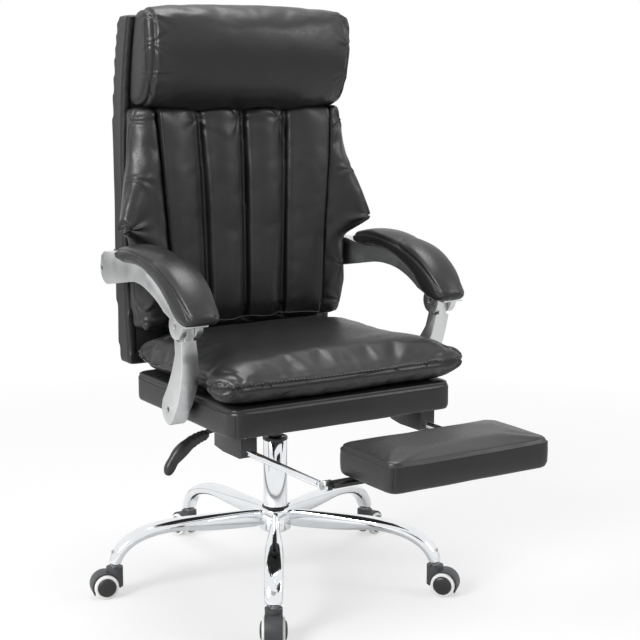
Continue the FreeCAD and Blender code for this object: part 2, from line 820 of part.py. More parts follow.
def footrest_board(name, grow):
    """The plywood under the footrest's pad, grown all round for its pocket."""
    inset = sizes.footrest_inset - grow
    side = sizes.footrest_half_width - inset
    return prism(name, "top",
                 rounded(-side, side, -sizes.footrest_front + inset, -sizes.footrest_rear - inset + 10, 10),
                 f"footrest_bottom - {grow * 3}", f"footrest_bottom + 10 + {grow}")


keep(footrest_board("footrest_board", 0), "footrest_board")
rise = sizes.footrest_height
footrest_layers = [(0, 4), (0.06 * rise, 1), (0.18 * rise, 0), (0.5 * rise, -0.5), (0.78 * rise, 0),
                   (0.87 * rise, 2), (0.94 * rise, 7), (0.985 * rise, 18), (rise, 36)]
footrest_soft = loft("footrest_soft", [
    wire(footrest_outline(inset), Vector(0, 0, sizes.footrest_bottom + height)) for height, inset in footrest_layers
])
keep(cut("footrest_pad", footrest_soft, [footrest_board("footrest_pocket", 0.3)]), "footrest_pad")


# Reclining back: everything follows one line that leans forward at the head
def back_line(height):
    """How far back the shell's front face stands: upright, with one arc below and one above."""
    if height < sizes.back_waist:
        reach, rise = sizes.back_tuck, sizes.back_waist - sizes.back_bottom
        away = sizes.back_waist - height
    else:
        reach, rise = sizes.back_lean, sizes.back_top - sizes.back_crest
        away = max(height - sizes.back_crest, 0)
    radius = (rise ** 2 + reach ** 2) / (2 * reach)
    return sizes.back_line - radius + math.sqrt(radius ** 2 - away ** 2)


def back_slab(low, high, near, far):
    """A side outline that follows the back line between two heights and two depths."""
    waist, crest = sizes.back_waist, sizes.back_crest
    heights = (low, (low + waist) / 2, waist, crest, (crest + high) / 2, high)
    front = [(back_line(z) + near, z) for z in heights]
    rear = [(back_line(z) + far, z) for z in heights]
    return [
        front[0],
        rear[0],
        (rear[1], rear[2]),
        rear[3],
        (rear[4], rear[5]),
        front[5],
        (front[4], front[3]),
        front[2],
        (front[1], front[0]),
    ]


shell = prism("shell_block", "side",
              back_slab(sizes.back_bottom, sizes.back_top, 0, sizes.shell_depth),
              "-back_half_width", "back_half_width")
shell = softened("shell_soft", shell, 16, lambda edge: edge.BoundBox.XLength > sizes.back_half_width
                 and edge.BoundBox.YMin > back_line(edge.BoundBox.ZMin) + 30)
board_low = sizes.back_bottom + sizes.board_inset
board_high = sizes.back_top - sizes.board_inset


def back_board(name, grow):
    return prism(name, "side",
                 back_slab(board_low - grow, board_high + grow, -5 * grow, sizes.board_thickness + grow),
                 f"-back_half_width + board_inset - {grow}", f"back_half_width - board_inset + {grow}")


keep(back_board("back_board", 0), "back_board")
rear_pivots = ("0", "rear_pivot_y", "rear_pivot_height")
shell_cuts = [
    back_board("shell_pocket", 0.3),
    cylinder("shell_bolt_bore", "pivot_bolt_radius + seating_gap", ("-back_half_width - 1", "back_half_width + 1"),
             rear_pivots, "x"),
]
keep(cut("back_shell", shell, shell_cuts), "back_shell")


# Back cushion: four channels between two side seams
def cushion_section(height, width, crest):
    """A slice of the cushion: flat behind, four crowned channels in front."""
    back = back_line(height) - sizes.seating_gap
    front = back - crest
    groove = front + sizes.channel_depth * crest / sizes.cushion_thickness
    quarter = width / 2
    outline = [(-width, back), (-width, groove - 2)]
    for number in range(4):
        left = -width + number * quarter
        end_groove = groove - 2 if number == 3 else groove
        outline.append(((left + quarter / 2, front), (left + quarter, end_groove)))
    outline.append((width, back))
    return wire(outline, Vector(0, 0, height))


def panel_edge(height):
    """Half the width of the channelled panel: it tapers below the armrests and flares above them."""
    if height < sizes.panel_knee:
        fall = (sizes.panel_knee - height) / (sizes.panel_knee - sizes.cushion_bottom)
        return sizes.panel_half_width - sizes.panel_taper * fall
    climb = (height - sizes.panel_knee) / (sizes.cushion_top - sizes.panel_knee)
    return sizes.panel_half_width + sizes.panel_flare * climb


thick = sizes.cushion_thickness
low, knee, high = sizes.cushion_bottom, sizes.panel_knee, sizes.cushion_top
channels = [(low, 0.72), (low + (knee - low) / 4, 0.94), (knee, 1.0), (high - (high - knee) * 0.4, 0.98), (high, 0.82)]
keep(loft("back_cushion", [
    cushion_section(height, panel_edge(height), share * thick) for height, share in smoothed(channels, 2)
]), "back_cushion")

wing_spans = [
    (low + 2, sizes.back_half_width - 10, 46, 0.6),
    ((low + knee) / 2 - 16, sizes.back_half_width + 3, 58, 0.86),
    (knee, sizes.back_half_width + 3, 66, 0.94),
    (sizes.wing_height, sizes.wing_reach, 92, 0.98),
    (sizes.wing_height + 60, sizes.wing_reach - 16, 84, 0.96),
    (sizes.wing_height + 140, sizes.wing_reach - 43, 62, 0.9),
    (high, sizes.back_half_width - 1, 34, 0.7),
]


def side_wing(side):
    """A padded wing that flares outwards above the armrest."""
    sections = []
    for height, tip, depth, share in wing_spans:
        seam = panel_edge(height)
        back = back_line(height) - sizes.seating_gap
        front = back - share * thick
        inner = side * (seam + sizes.seating_gap)
        rim = side * (sizes.back_half_width - 2)
        lip = side * (tip - 8)
        outline = [
            (inner, back),
            (inner, front + 12),
            ((side * (seam + 0.45 * (tip - seam)), front - 2), (lip, back - depth - 14)),
            ((side * tip, back - depth), (lip, back - depth + 14)),
            (rim, back),
        ]
        sections.append(wire(outline, Vector(0, 0, height)))
    return loft(f"wing{side}", sections)


for side, word in ((-1, "right"), (1, "left")):
    keep(side_wing(side), f"side_wing_{word}")


def headrest_section(across, share):
    """A slice of the pillow across X: crowned in front, its back on the shell's line."""
    low_z = sizes.headrest_bottom + (1 - share) * 30
    high_z = sizes.headrest_top - (1 - share) * 34
    middle = (low_z + high_z) / 2
    deep = sizes.headrest_thickness * (0.42 + 0.58 * share)
    backs = [(back_line(z) - sizes.seating_gap, z) for z in (low_z + 8, middle, high_z - 10)]
    outline = [
        backs[0],
        ((backs[0][0] - deep * 0.45, low_z), (backs[0][0] - deep * 0.8, low_z + 14)),
        ((backs[1][0] - deep, middle), (backs[2][0] - deep * 0.72, high_z - 16)),
        ((backs[2][0] - deep * 0.3, high_z), backs[2]),
        (backs[1], backs[0]),
    ]
    return wire(outline, Vector(across, 0, 0), Vector(0, 1, 0), Vector(0, 0, 1))


def pillow_spans(half_width):
    """Places across the pillow and how full it is there, from the middle out to one end."""
    steep = math.radians(84)
    spans = []
    for turn in (0, 0.35 * steep, 0.6 * steep, 0.78 * steep, 0.9 * steep, steep):
        spans.append((half_width * math.sin(turn) / math.sin(steep), math.cos(turn) ** 0.35))
    return spans


half_pillow = pillow_spans(sizes.headrest_half_width)
pillow = [(-across, share) for across, share in half_pillow[:0:-1]] + half_pillow
keep(loft("headrest", [headrest_section(across, share) for across, share in pillow]), "headrest")


# Recline hinges under the back and behind the seat
hinge_line = ("0", "hinge_y", "hinge_height")
hy, hz = sizes.hinge_y, sizes.hinge_height
ear = 3 * sizes.hinge_pin_radius


def back_hinge(side):
    x = f"{side} * hinge_x"
    plate = box(f"back_plate{side}", (f"{x} - 20", f"{x} + 20"), ("hinge_y + 2", "hinge_y + 66"),
                ("back_bottom - hinge_plate", "back_bottom"))
    leaf = prism(f"back_leaf{side}", "side", [
        (hy - ear, hz),
        ((hy, hz - ear), (hy + ear, hz)),
        (hy + 34, sizes.back_bottom - 1),
        (hy + 2, sizes.back_bottom - 1),
        (hy - ear, hz + ear),
    ], f"{x} - hinge_plate / 2", f"{x} + hinge_plate / 2")
    bore = cylinder(f"back_leaf_bore{side}", "hinge_pin_radius + running_gap", ("-6", "6"),
                    (x, "hinge_y", "hinge_height"), "x")
    return cut(f"back_hinge{side}", joined(f"back_hinge_joined{side}", [plate, leaf]), [bore])


def seat_hinge(side):
    x = f"{side} * (hinge_x + hinge_plate + seating_gap)"
    plate = box(f"seat_plate{side}", (f"{x} - 20", f"{x} + 20"), ("seat_rear - 70", "seat_rear - 2"),
                ("seat_underside - hinge_plate", "seat_underside"))
    base = sizes.seat_underside
    leaf = prism(f"seat_leaf{side}", "side", [
        (hy - 56, base - sizes.hinge_plate),
        (hy - 12, base - sizes.hinge_plate),
        (hy + ear, hz - 2),
        ((hy + ear * 0.7, hz + ear * 0.7), (hy, hz + ear)),
        ((hy - ear * 0.7, hz + ear * 0.7), (hy - ear, hz)),
        (hy - ear, base),
        (hy - 56, base),
    ], f"{x} - hinge_plate / 2", f"{x} + hinge_plate / 2")
    bore = cylinder(f"seat_leaf_bore{side}", "hinge_pin_radius", ("-6", "6"),
                    (x, "hinge_y", "hinge_height"), "x")
    return cut(f"seat_hinge{side}", joined(f"seat_hinge_joined{side}", [plate, leaf]), [bore])


def hinge_pin(side):
    pin = turned(f"hinge_pin{side}", [
        ("hinge_pin_radius", None, "-hinge_plate / 2 - seating_gap", "hinge_plate * 1.5 + seating_gap"),
        ("hinge_pin_radius + 3", None, "-hinge_plate / 2 - seating_gap - 3", "-hinge_plate / 2 - seating_gap"),
        ("hinge_pin_radius + 3", None, "hinge_plate * 1.5 + seating_gap", "hinge_plate * 1.5 + seating_gap + 3"),
    ], (f"{side} * hinge_x", "hinge_y", "hinge_height"), "x")
    pin.Placement.Rotation = Rotation(Vector(0, 1, 0), 90 * side)
    return pin


keep(grouped("back_hinges", both_sides(back_hinge)), "back_hinges")
keep(grouped("seat_hinges", both_sides(seat_hinge)), "seat_hinges")
lever_pin = cylinder("lever_pin", "2.5", ("-12", "12"), ("-lever_pivot_x", "0", "lever_pivot_height"), "y")
keep(grouped("seat_pins", both_sides(hinge_pin) + [lever_pin]), "seat_pins")


# Armrests: a beam hung between the back and a link from the seat
knuckle = Vector(-sizes.knuckle_y, sizes.knuckle_height)
rear = Vector(sizes.rear_pivot_y, sizes.rear_pivot_height)
run = rear - knuckle


def on_arm(share, height):
    """A place along the line from the knuckle to the rear pivot and square above it."""
    up = Vector(-run.y, run.x).normalize()
    spot = knuckle + run * share + up * height
    return spot.x, spot.y


def round_pivot(centre, radius, angle):
    turn = math.radians(angle)
    return centre.x + radius * math.cos(turn), centre.y + radius * math.sin(turn)


beam_outline = [
    on_arm(1.015, 26),
    on_arm(0.98, 38),
    on_arm(0.82, 50),
    on_arm(0.735, 49.5),
    on_arm(0.62, 54.5),
    (on_arm(0.30, 63), on_arm(0.063, 26.3)),
    (on_arm(0.005, 15.5), on_arm(-0.11, 13.5)),
    (on_arm(-0.1165, 11), on_arm(-0.11, 8.5)),
    round_pivot(knuckle, sizes.knuckle_radius, 172),
    (round_pivot(knuckle, sizes.knuckle_radius, 270), round_pivot(knuckle, sizes.knuckle_radius, 30)),
    on_arm(0.13, 13),
    (on_arm(0.30, 31), on_arm(0.56, 22)),
    (on_arm(0.76, -5), on_arm(0.9, -23)),
    (on_arm(0.985, -20), on_arm(1.02, 3)),
]


def plan_outline(side):
    inner, outer = side * sizes.arm_inner, side * sizes.arm_outer
    boss_in, boss_out = side * sizes.boss_inner, side * sizes.boss_outer
    back = sizes.rear_pivot_y + 40
    front = -sizes.knuckle_y - 80
    return [
        (boss_in, back),
        (boss_out, back),
        (boss_out, sizes.rear_pivot_y - 45),
        ((boss_out + side * 8, 80), (outer, -60)),
        (outer, front),
        (inner, front),
        (inner, -60),
        ((boss_in + side * 8, 60), (boss_in, sizes.rear_pivot_y - 45)),
    ]


def across_arm(side, inner, outer):
    """Low and high formulas along X for two formulas measured outwards."""
    if side > 0:
        return inner, outer
    return f"-({outer})", f"-({inner})"


tongue_inner = "(arm_inner + arm_outer - tongue_width) / 2"
tongue_outer = "(arm_inner + arm_outer + tongue_width) / 2"
knuckle_at = ("0", "-knuckle_y", "knuckle_height")
rear_at = ("0", "rear_pivot_y", "rear_pivot_height")


def slot_span(side):
    """How wide the link's slot is, along X."""
    return across_arm(side, f"{tongue_inner} - seating_gap * 2", f"{tongue_outer} + seating_gap * 2")


def arm_beam(side, word):
    """The curved beam with its rear boss and the slotted barrel over the link."""
    low, high = across_arm(side, "boss_inner - 2", "arm_outer + 2")
    profile = prism(f"beam_side_{word}", "side", beam_outline, low, high)
    plan = prism(f"beam_plan_{word}", "top", plan_outline(side), "knuckle_height - 60", "rear_pivot_height + 80")
    beam = common(f"beam_form_{word}", [profile, plan])
    tools = [
        cylinder(f"beam_slot_{word}", "tongue_radius + link_gap + 1", slot_span(side), knuckle_at, "x"),
        box(f"beam_mouth_{word}", slot_span(side),
            ("-knuckle_y - knuckle_radius - 4", "-knuckle_y + knuckle_radius + 4"),
            ("knuckle_height - knuckle_radius - 4", "knuckle_height - 1")),
        cylinder(f"beam_pin_bore_{word}", "knuckle_pin_radius",
                 across_arm(side, "arm_inner - 1", "arm_outer + 1"), knuckle_at, "x"),
        cylinder(f"beam_bolt_bore_{word}", "pivot_bolt_radius + running_gap",
                 across_arm(side, "boss_inner - 1", "boss_outer + 1"), rear_at, "x"),
    ]
    return cut(f"arm_beam_{word}", beam, tools)


link_at = ("0", "-low_pivot_y", "low_pivot_height")
foot = Vector(-sizes.low_pivot_y, sizes.low_pivot_height)
lobe = sizes.link_lobe
top = sizes.tongue_radius
link_outline = [
    round_pivot(knuckle, top, 190),
    (round_pivot(knuckle, top, 90), round_pivot(knuckle, top, -8)),
    (knuckle.x + 21, knuckle.y - 55),
    ((knuckle.x + 44, knuckle.y - 93), round_pivot(foot, lobe, 42)),
    (round_pivot(foot, lobe, -20), round_pivot(foot, lobe * 1.15, -96)),
    (round_pivot(foot, lobe * 1.02, -125), round_pivot(foot, lobe, -165)),
    ((knuckle.x + 12, knuckle.y - 118), (knuckle.x - 8, knuckle.y - 50)),
]


def arm_link(side, word):
    """The blade-shaped link from the seat's side up into the knuckle."""
    low, high = across_arm(side, "link_inner", "arm_inner + arm_outer - link_inner")
    blade = prism(f"link_blade_{word}", "side", link_outline, low, high)
    shoulder = "knuckle_radius + link_gap + 1.5"
    tools = [
        cylinder(f"link_inside_{word}", shoulder, across_arm(side, "link_inner - 20", tongue_inner), knuckle_at, "x"),
        cylinder(f"link_outside_{word}", shoulder, across_arm(side, tongue_outer, "arm_outer + 20"), knuckle_at, "x"),
        cylinder(f"link_eye_{word}", "knuckle_pin_radius + link_gap",
                 across_arm(side, "link_inner - 20", "arm_outer + 20"), knuckle_at, "x"),
        cylinder(f"link_bore_{word}", "pivot_bolt_radius + running_gap",
                 across_arm(side, "link_inner - 20", "arm_outer + 20"), link_at, "x"),
        prism(f"link_taper_{word}", "front", [
            (side * sizes.link_outer, foot.y - 2 * lobe),
            (side * sizes.link_outer, foot.y + 10),
            (side * (sizes.arm_outer - 6), knuckle.y - 20),
            (side * (sizes.arm_outer - 6), knuckle.y + 40),
            (side * (sizes.arm_outer + 40), knuckle.y + 40),
            (side * (sizes.arm_outer + 40), foot.y - 2 * lobe),
        ], "0", "300"),
        prism(f"link_lean_{word}", "front", [
            (side * (sizes.link_inner - 2), foot.y + 60),
            (side * (sizes.arm_inner + 8), knuckle.y - 30),
            (side * (sizes.arm_inner + 8), knuckle.y + 40),
            (side * (sizes.link_inner - 40), knuckle.y + 40),
            (side * (sizes.link_inner - 40), foot.y + 60),
        ], "0", "300"),
    ]
    return cut(f"arm_link_{word}", blade, tools)


def pad_section(across, drop, shrink):
    """A slice of the arm pad across X: its foot on the beam, its back crowned."""
    lift = sizes.seating_gap
    side = sizes.pad_side
    crown = sizes.pad_side + sizes.pad_crown - drop
    outline = [
        on_arm(0.725 - shrink / 380, 51 + lift),
        on_arm(0.62, 54.5 + lift),
        (on_arm(0.30, 63 + lift), on_arm(0.063, 26.3 + lift)),
        (on_arm(0.005, 15.5 + lift), on_arm(-0.11, 13.5 + lift)),
        (on_arm(-0.15 + shrink / 380, 22 + lift), on_arm(-0.135 + shrink / 380, 40 - drop)),
        (on_arm(0.03, 88 - drop), on_arm(0.28, 63 + crown)),
        (on_arm(0.50, 61 + crown), on_arm(0.715 - shrink / 380, 50 + crown - 12)),
        (on_arm(0.745 - shrink / 380, 50 + crown / 2), on_arm(0.725 - shrink / 380, 51 + lift)),
    ]
    return wire(outline, Vector(across, 0, 0), Vector(0, 1, 0), Vector(0, 0, 1))


def arm_pad(side, word):
    inner, outer = sizes.pad_inner, sizes.pad_outer
    spans = [(inner, 13, 12), (inner + 6, 6, 4), (inner + 22, 1, 0), ((inner + outer) / 2, 0, 0),
             (outer - 22, 1, 0), (outer - 6, 6, 4), (outer, 13, 12)]
    soft = loft(f"pad_soft_{word}", [pad_section(side * x, drop, shrink) for x, drop, shrink in spans])
    relief = cylinder(f"pad_relief_{word}", "tongue_radius + link_gap + 1", slot_span(side), knuckle_at, "x")
    return cut(f"arm_pad_{word}", soft, [relief])


def knuckle_pin(side, word):
    low, high = across_arm(side, "arm_inner + 0.5", "arm_outer - 0.5")
    return cylinder(f"knuckle_pin_{word}", "knuckle_pin_radius", (low, high), knuckle_at, "x")


for side, word in ((-1, "right"), (1, "left")):
    keep(arm_beam(side, word), f"arm_beam_{word}")
    keep(arm_link(side, word), f"arm_link_{word}")
    keep(arm_pad(side, word), f"arm_pad_{word}")
    keep(knuckle_pin(side, word), f"knuckle_pin_{word}")


def arm_bracket(side):
    """A steel plate on the shell's side that takes the armrest's rear bolt."""
    ry, rz = sizes.rear_pivot_y, sizes.rear_pivot_height
    near, far = ry - 12, ry + 34
    low, high = across_arm(side, "back_half_width", "boss_inner - seating_gap")
    plate = prism(f"bracket_plate{side}", "side", rounded(near, far, rz - 34, rz + 34, 8), low, high)
    bore = cylinder(f"bracket_bore{side}", "pivot_bolt_radius",
                    across_arm(side, "back_half_width - 5", "boss_inner + 5"), rear_at, "x")
    return cut(f"bracket_cut{side}", plate, [bore])


keep(grouped("arm_brackets", both_sides(arm_bracket)), "arm_brackets")


def rear_bolt(side):
    return cylinder(f"rear_bolt{side}", "pivot_bolt_radius",
                    across_arm(side, "back_half_width - board_inset + 1", "boss_outer - 1"), rear_at, "x")


def front_bolt(side):
    """A shoulder bolt: its collar spaces the link from the seat's side."""
    shank = cylinder(f"bolt_shank{side}", "pivot_bolt_radius",
                     across_arm(side, "seat_half_width - frame_inset - rail_width", "link_outer - 1"), link_at, "x")
    collar = cylinder(f"bolt_collar{side}", "pivot_bolt_radius + 4",
                      across_arm(side, "seat_half_width", "link_inner - seating_gap"), link_at, "x")
    return joined(f"front_bolt{side}", [shank, collar])


keep(grouped("rear_arm_bolts", both_sides(rear_bolt)), "rear_arm_bolts")
keep(grouped("front_arm_bolts", both_sides(front_bolt)), "front_arm_bolts")

# Build, test and write every sub-part
doc.recompute()
os.makedirs("parts", exist_ok=True)
for piece in doc.Objects:
    if "Invalid" in piece.State or "Error" in piece.State:
        raise SystemExit(f"{piece.Label} did not rebuild: {piece.State}")
for piece in finished:
    shape = piece.Shape
    if shape.isNull() or not shape.isValid() or shape.Volume <= 0:
        raise SystemExit(f"{piece.Label} has no sound solid")
    shape.exportStep(f"parts/{piece.Label}.step")
print(len(finished), "sub-parts written")
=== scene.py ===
import json
import math
import bmesh
import bpy
import numpy as np
from mathutils import Matrix, Vector
from mathutils.bvhtree import BVHTree

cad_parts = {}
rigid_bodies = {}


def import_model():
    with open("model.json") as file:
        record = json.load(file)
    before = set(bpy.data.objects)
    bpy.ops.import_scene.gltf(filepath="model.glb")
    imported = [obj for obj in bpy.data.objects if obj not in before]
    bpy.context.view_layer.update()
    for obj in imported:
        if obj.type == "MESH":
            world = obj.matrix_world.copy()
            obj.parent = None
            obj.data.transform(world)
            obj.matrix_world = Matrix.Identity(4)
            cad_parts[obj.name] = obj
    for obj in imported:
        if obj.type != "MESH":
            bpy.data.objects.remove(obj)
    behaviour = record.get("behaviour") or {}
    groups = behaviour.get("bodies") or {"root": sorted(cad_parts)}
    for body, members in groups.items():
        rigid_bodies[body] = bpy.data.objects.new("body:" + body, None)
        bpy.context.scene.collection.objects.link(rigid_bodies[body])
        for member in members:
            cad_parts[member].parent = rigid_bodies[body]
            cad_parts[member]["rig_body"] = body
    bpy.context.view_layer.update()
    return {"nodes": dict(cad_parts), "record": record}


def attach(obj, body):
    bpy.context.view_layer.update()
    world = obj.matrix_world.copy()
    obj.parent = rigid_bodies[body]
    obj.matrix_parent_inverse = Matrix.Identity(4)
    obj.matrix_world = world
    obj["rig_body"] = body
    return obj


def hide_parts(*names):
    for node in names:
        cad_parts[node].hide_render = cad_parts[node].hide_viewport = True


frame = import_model()
scene = bpy.context.scene
mm = 0.001
print("frame loaded:", len(frame["nodes"]), "nodes")


def toLinear(hexColour):  # hex sRGB, as a paint program shows it, to the values that shaders read
    channels = [int(hexColour[i:i + 2], 16) / 255 for i in (1, 3, 5)]
    return [c / 12.92 if c <= 0.04045 else ((c + 0.055) / 1.055) ** 2.4 for c in channels] + [1.0]


def addNode(tree, kind, inputs=None, **settings):  # inputs by socket: a value, or a socket to link
    node = tree.nodes.new(kind)
    for name, value in settings.items():
        setattr(node, name, value)
    for name, value in (inputs or {}).items():
        if isinstance(value, bpy.types.NodeSocket):
            tree.links.new(value, node.inputs[name])
        else:
            node.inputs[name].default_value = value
    return node


def emptyMaterial(name):
    material = bpy.data.materials.new(name)
    material.use_nodes = True
    material.node_tree.nodes.clear()
    return material, material.node_tree


def shadeOf(tree, noise, look):  # the look's dark and pale colours, mixed by a noise
    ends = {0: noise.outputs["Fac"], 6: toLinear(look["dark"]), 7: toLinear(look["pale"])}
    return addNode(tree, "ShaderNodeMix", ends, data_type="RGBA").outputs[2]


def roughnessOf(tree, noise, low, high):
    ends = {"Value": noise.outputs["Fac"], "From Min": 0.3, "From Max": 0.7, "To Min": low, "To Max": high}
    return addNode(tree, "ShaderNodeMapRange", ends).outputs["Result"]


# PU-coated upholstery leather, embossed and lightly buffed: a soft wide sheen over a fine pebble
leatherLook = {
    "dark": "#171718", "pale": "#212122", "roughness": (0.34, 0.46), "mottle": 70 * mm, "rub": 5 * mm,
    "pebble": 2.4 * mm,  # the real grain is about 1 mm, drawn coarser so that it shows
    "crease": 34 * mm, "pebbleDepth": 0.16 * mm, "creaseDepth": 1.1 * mm,
}


def paddedLeather():
    look = leatherLook
    material, tree = emptyMaterial("blackPuLeather")
    place = addNode(tree, "ShaderNodeTexCoord").outputs["Object"]
    mottle = addNode(tree, "ShaderNodeTexNoise", {"Vector": place, "Scale": 1 / look["mottle"], "Detail": 4.0})
    pebble = addNode(tree, "ShaderNodeTexVoronoi", {"Vector": place, "Scale": 1 / look["pebble"]})
    rub = addNode(tree, "ShaderNodeTexNoise", {"Vector": place, "Scale": 1 / look["rub"], "Detail": 6.0})
    crease = addNode(tree, "ShaderNodeTexNoise", {"Vector": place, "Scale": 1 / look["crease"], "Detail": 3.0,
                                                  "Distortion": 0.6})
    wide = addNode(tree, "ShaderNodeBump", {"Height": crease.outputs["Fac"], "Strength": 0.35,
                                            "Distance": look["creaseDepth"]})
    grain = addNode(tree, "ShaderNodeBump", {"Height": pebble.outputs["Distance"], "Strength": 0.5,
                                             "Distance": look["pebbleDepth"], "Normal": wide.outputs["Normal"]})
    shader = addNode(tree, "ShaderNodeBsdfPrincipled", {
        "Base Color": shadeOf(tree, mottle, look), "Roughness": roughnessOf(tree, rub, *look["roughness"]),
        "Normal": grain.outputs["Normal"], "IOR": 1.5, "Specular IOR Level": 0.42, "Coat Weight": 0.06,
        "Coat Roughness": 0.3})
    addNode(tree, "ShaderNodeOutputMaterial", {"Surface": shader.outputs[0]})
    return material


# metals: the base colour is the metal's own reflection, waviness and rub marks come from noise
metalLooks = {
    "polishedChrome": {"pale": "#f0f2f4", "dark": "#e2e5e8", "roughness": (0.035, 0.08), "wave": 60 * mm,
                       "depth": 0.12 * mm},
    "satinSilver": {"pale": "#dcdddd", "dark": "#c9cbcc", "roughness": (0.3, 0.4), "wave": 1.2 * mm,
                    "depth": 0.03 * mm},
    "zincPlate": {"pale": "#b9bbba", "dark": "#9c9d9b", "roughness": (0.25, 0.4), "wave": 4 * mm,
                  "depth": 0.05 * mm},
}
# plastics and enamel: moulded or sprayed, with a faint texture from the tool or the spray
shellLooks = {
    "mouldedBlackNylon": {"pale": "#262627", "dark": "#1b1b1c", "roughness": (0.3, 0.42), "wave": 1.4 * mm,
                          "depth": 0.05 * mm},
    "charcoalCasterHood": {"pale": "#3b3d40", "dark": "#313336", "roughness": (0.42, 0.55), "wave": 1.6 * mm,
                           "depth": 0.06 * mm},
    "whiteTread": {"pale": "#eeeeec", "dark": "#e2e2df", "roughness": (0.35, 0.5), "wave": 3 * mm,
                   "depth": 0.05 * mm},
    "blackEnamel": {"pale": "#1a1a1b", "dark": "#121213", "roughness": (0.22, 0.34), "wave": 5 * mm,
                    "depth": 0.06 * mm},
    "seamThread": {"pale": "#7c7b79", "dark": "#5c5b5a", "roughness": (0.6, 0.8), "wave": 1 * mm,
                   "depth": 0.1 * mm},
    # seamShadow is no plastic: near-black painted shade, laid along the seams and under the boards
    "seamShadow": {"pale": "#101010", "dark": "#0a0a0a", "roughness": (0.6, 0.8), "wave": 2 * mm,
                   "depth": 0.05 * mm},
}


def worked(name, look, metallic):
    material, tree = emptyMaterial(name)
    place = addNode(tree, "ShaderNodeTexCoord").outputs["Object"]
    cloud = addNode(tree, "ShaderNodeTexNoise", {"Vector": place, "Scale": 1 / (40 * mm), "Detail": 5.0})
    texture = addNode(tree, "ShaderNodeTexNoise", {"Vector": place, "Scale": 1 / look["wave"], "Detail": 3.0})
    bump = addNode(tree, "ShaderNodeBump", {"Height": texture.outputs["Fac"], "Strength": 0.4,
                                            "Distance": look["depth"]})
    shader = addNode(tree, "ShaderNodeBsdfPrincipled", {
        "Base Color": shadeOf(tree, cloud, look), "Roughness": roughnessOf(tree, cloud, *look["roughness"]),
        "Normal": bump.outputs["Normal"], "Metallic": metallic})
    addNode(tree, "ShaderNodeOutputMaterial", {"Surface": shader.outputs[0]})
    return material


# sanded plywood: long streaks of grain across the board
plywoodLook = {"dark": "#b08a5a", "pale": "#d8bd8e", "stretch": (1.0, 12.0, 12.0), "streaks": 9.0,
               "depth": 0.2 * mm, "roughness": 0.62}


def birchPlywood():
    look = plywoodLook
    material, tree = emptyMaterial("birchPlywood")
    place = addNode(tree, "ShaderNodeTexCoord").outputs["Object"]
    stretched = addNode(tree, "ShaderNodeMapping", {"Vector": place, "Scale": look["stretch"]})
    grain = addNode(tree, "ShaderNodeTexNoise", {"Vector": stretched.outputs[0], "Scale": look["streaks"],
                                                 "Detail": 8.0})
    bump = addNode(tree, "ShaderNodeBump", {"Height": grain.outputs["Fac"], "Strength": 0.3,
                                            "Distance": look["depth"]})
    shader = addNode(tree, "ShaderNodeBsdfPrincipled", {
        "Base Color": shadeOf(tree, grain, look), "Roughness": look["roughness"],
        "Normal": bump.outputs["Normal"]})
    addNode(tree, "ShaderNodeOutputMaterial", {"Surface": shader.outputs[0]})
    return material


leather = paddedLeather()
chrome, silver, zinc = [worked(name, look, 1.0) for name, look in metalLooks.items()]
# the last of these, seamShadow, is painted shade for the seams and under the boards
blackNylon, hoodPlastic, treadPlastic, enamel, thread, seamShade = [
    worked(name, look, 0.0) for name, look in shellLooks.items()]
plywood = birchPlywood()
slotLooks = {
    "leather": leather, "chrome": chrome, "silver_arm": silver, "black_steel": enamel,
    "zinc_steel": zinc, "plywood": plywood, "black_plastic": blackNylon, "hood_plastic": hoodPlastic,
    "white_nylon": treadPlastic,
}
nodeSlots = {row["node"]: row["material_slot"] for row in frame["record"]["subparts"]}
for nodeName, node in frame["nodes"].items():
    node.data.materials.clear()
    node.data.materials.append(slotLooks[nodeSlots[nodeName]])
for nodeName in ("front_arm_bolts", "rear_arm_bolts"):
    frame["nodes"][nodeName].data.materials[0] = blackNylon  # the bolts' heads wear black plugs
frame["nodes"]["back_board"].data.materials[0] = leather  # the cover runs round the board
print("materials ready")


def shadedSmooth(mesh):
    mesh.polygons.foreach_set("use_smooth", [True] * len(mesh.polygons))


def finished(name, bm, material, body):  # a bmesh becomes a named piece on its body
    mesh = bpy.data.meshes.new(name)
    bmesh.ops.recalc_face_normals(bm, faces=bm.faces)
    bm.to_mesh(mesh)
    bm.free()
    piece = bpy.data.objects.new(name, mesh)
    scene.collection.objects.link(piece)
    mesh.materials.append(material)
    shadedSmooth(mesh)
    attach(piece, body)
    return piece


def applied(piece):  # the piece's modifiers become its mesh
    graph = bpy.context.evaluated_depsgraph_get()
    mesh = bpy.data.meshes.new_from_object(piece.evaluated_get(graph))
    piece.modifiers.clear()
    piece.data = mesh
    shadedSmooth(mesh)
    return piece


def solidOf(nodeName):  # the frame's own solid, with its points joined
    bm = bmesh.new()
    bm.from_mesh(frame["nodes"][nodeName].data)
    bmesh.ops.remove_doubles(bm, verts=bm.verts, dist=0.01 * mm)
    return bm


def roundedCopy(nodeName, name, width, segments=2):
    # a rigid piece with the worked edges of the real one, made over the frame's own solid
    bm = solidOf(nodeName)
    bmesh.ops.dissolve_limit(bm, angle_limit=math.radians(1.2), verts=bm.verts, edges=bm.edges)
    slot = nodeSlots[nodeName]
    piece = finished(name, bm, slotLooks[slot], frame["nodes"][nodeName]["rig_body"])
    bevel = piece.modifiers.new("edges", "BEVEL")
    bevel.width = width
    bevel.segments = segments
    bevel.limit_method = "ANGLE"
    bevel.angle_limit = math.radians(32)
    bevel.harden_normals = True
    bevel.miter_outer = "MITER_ARC"
    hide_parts(nodeName)
    return piece


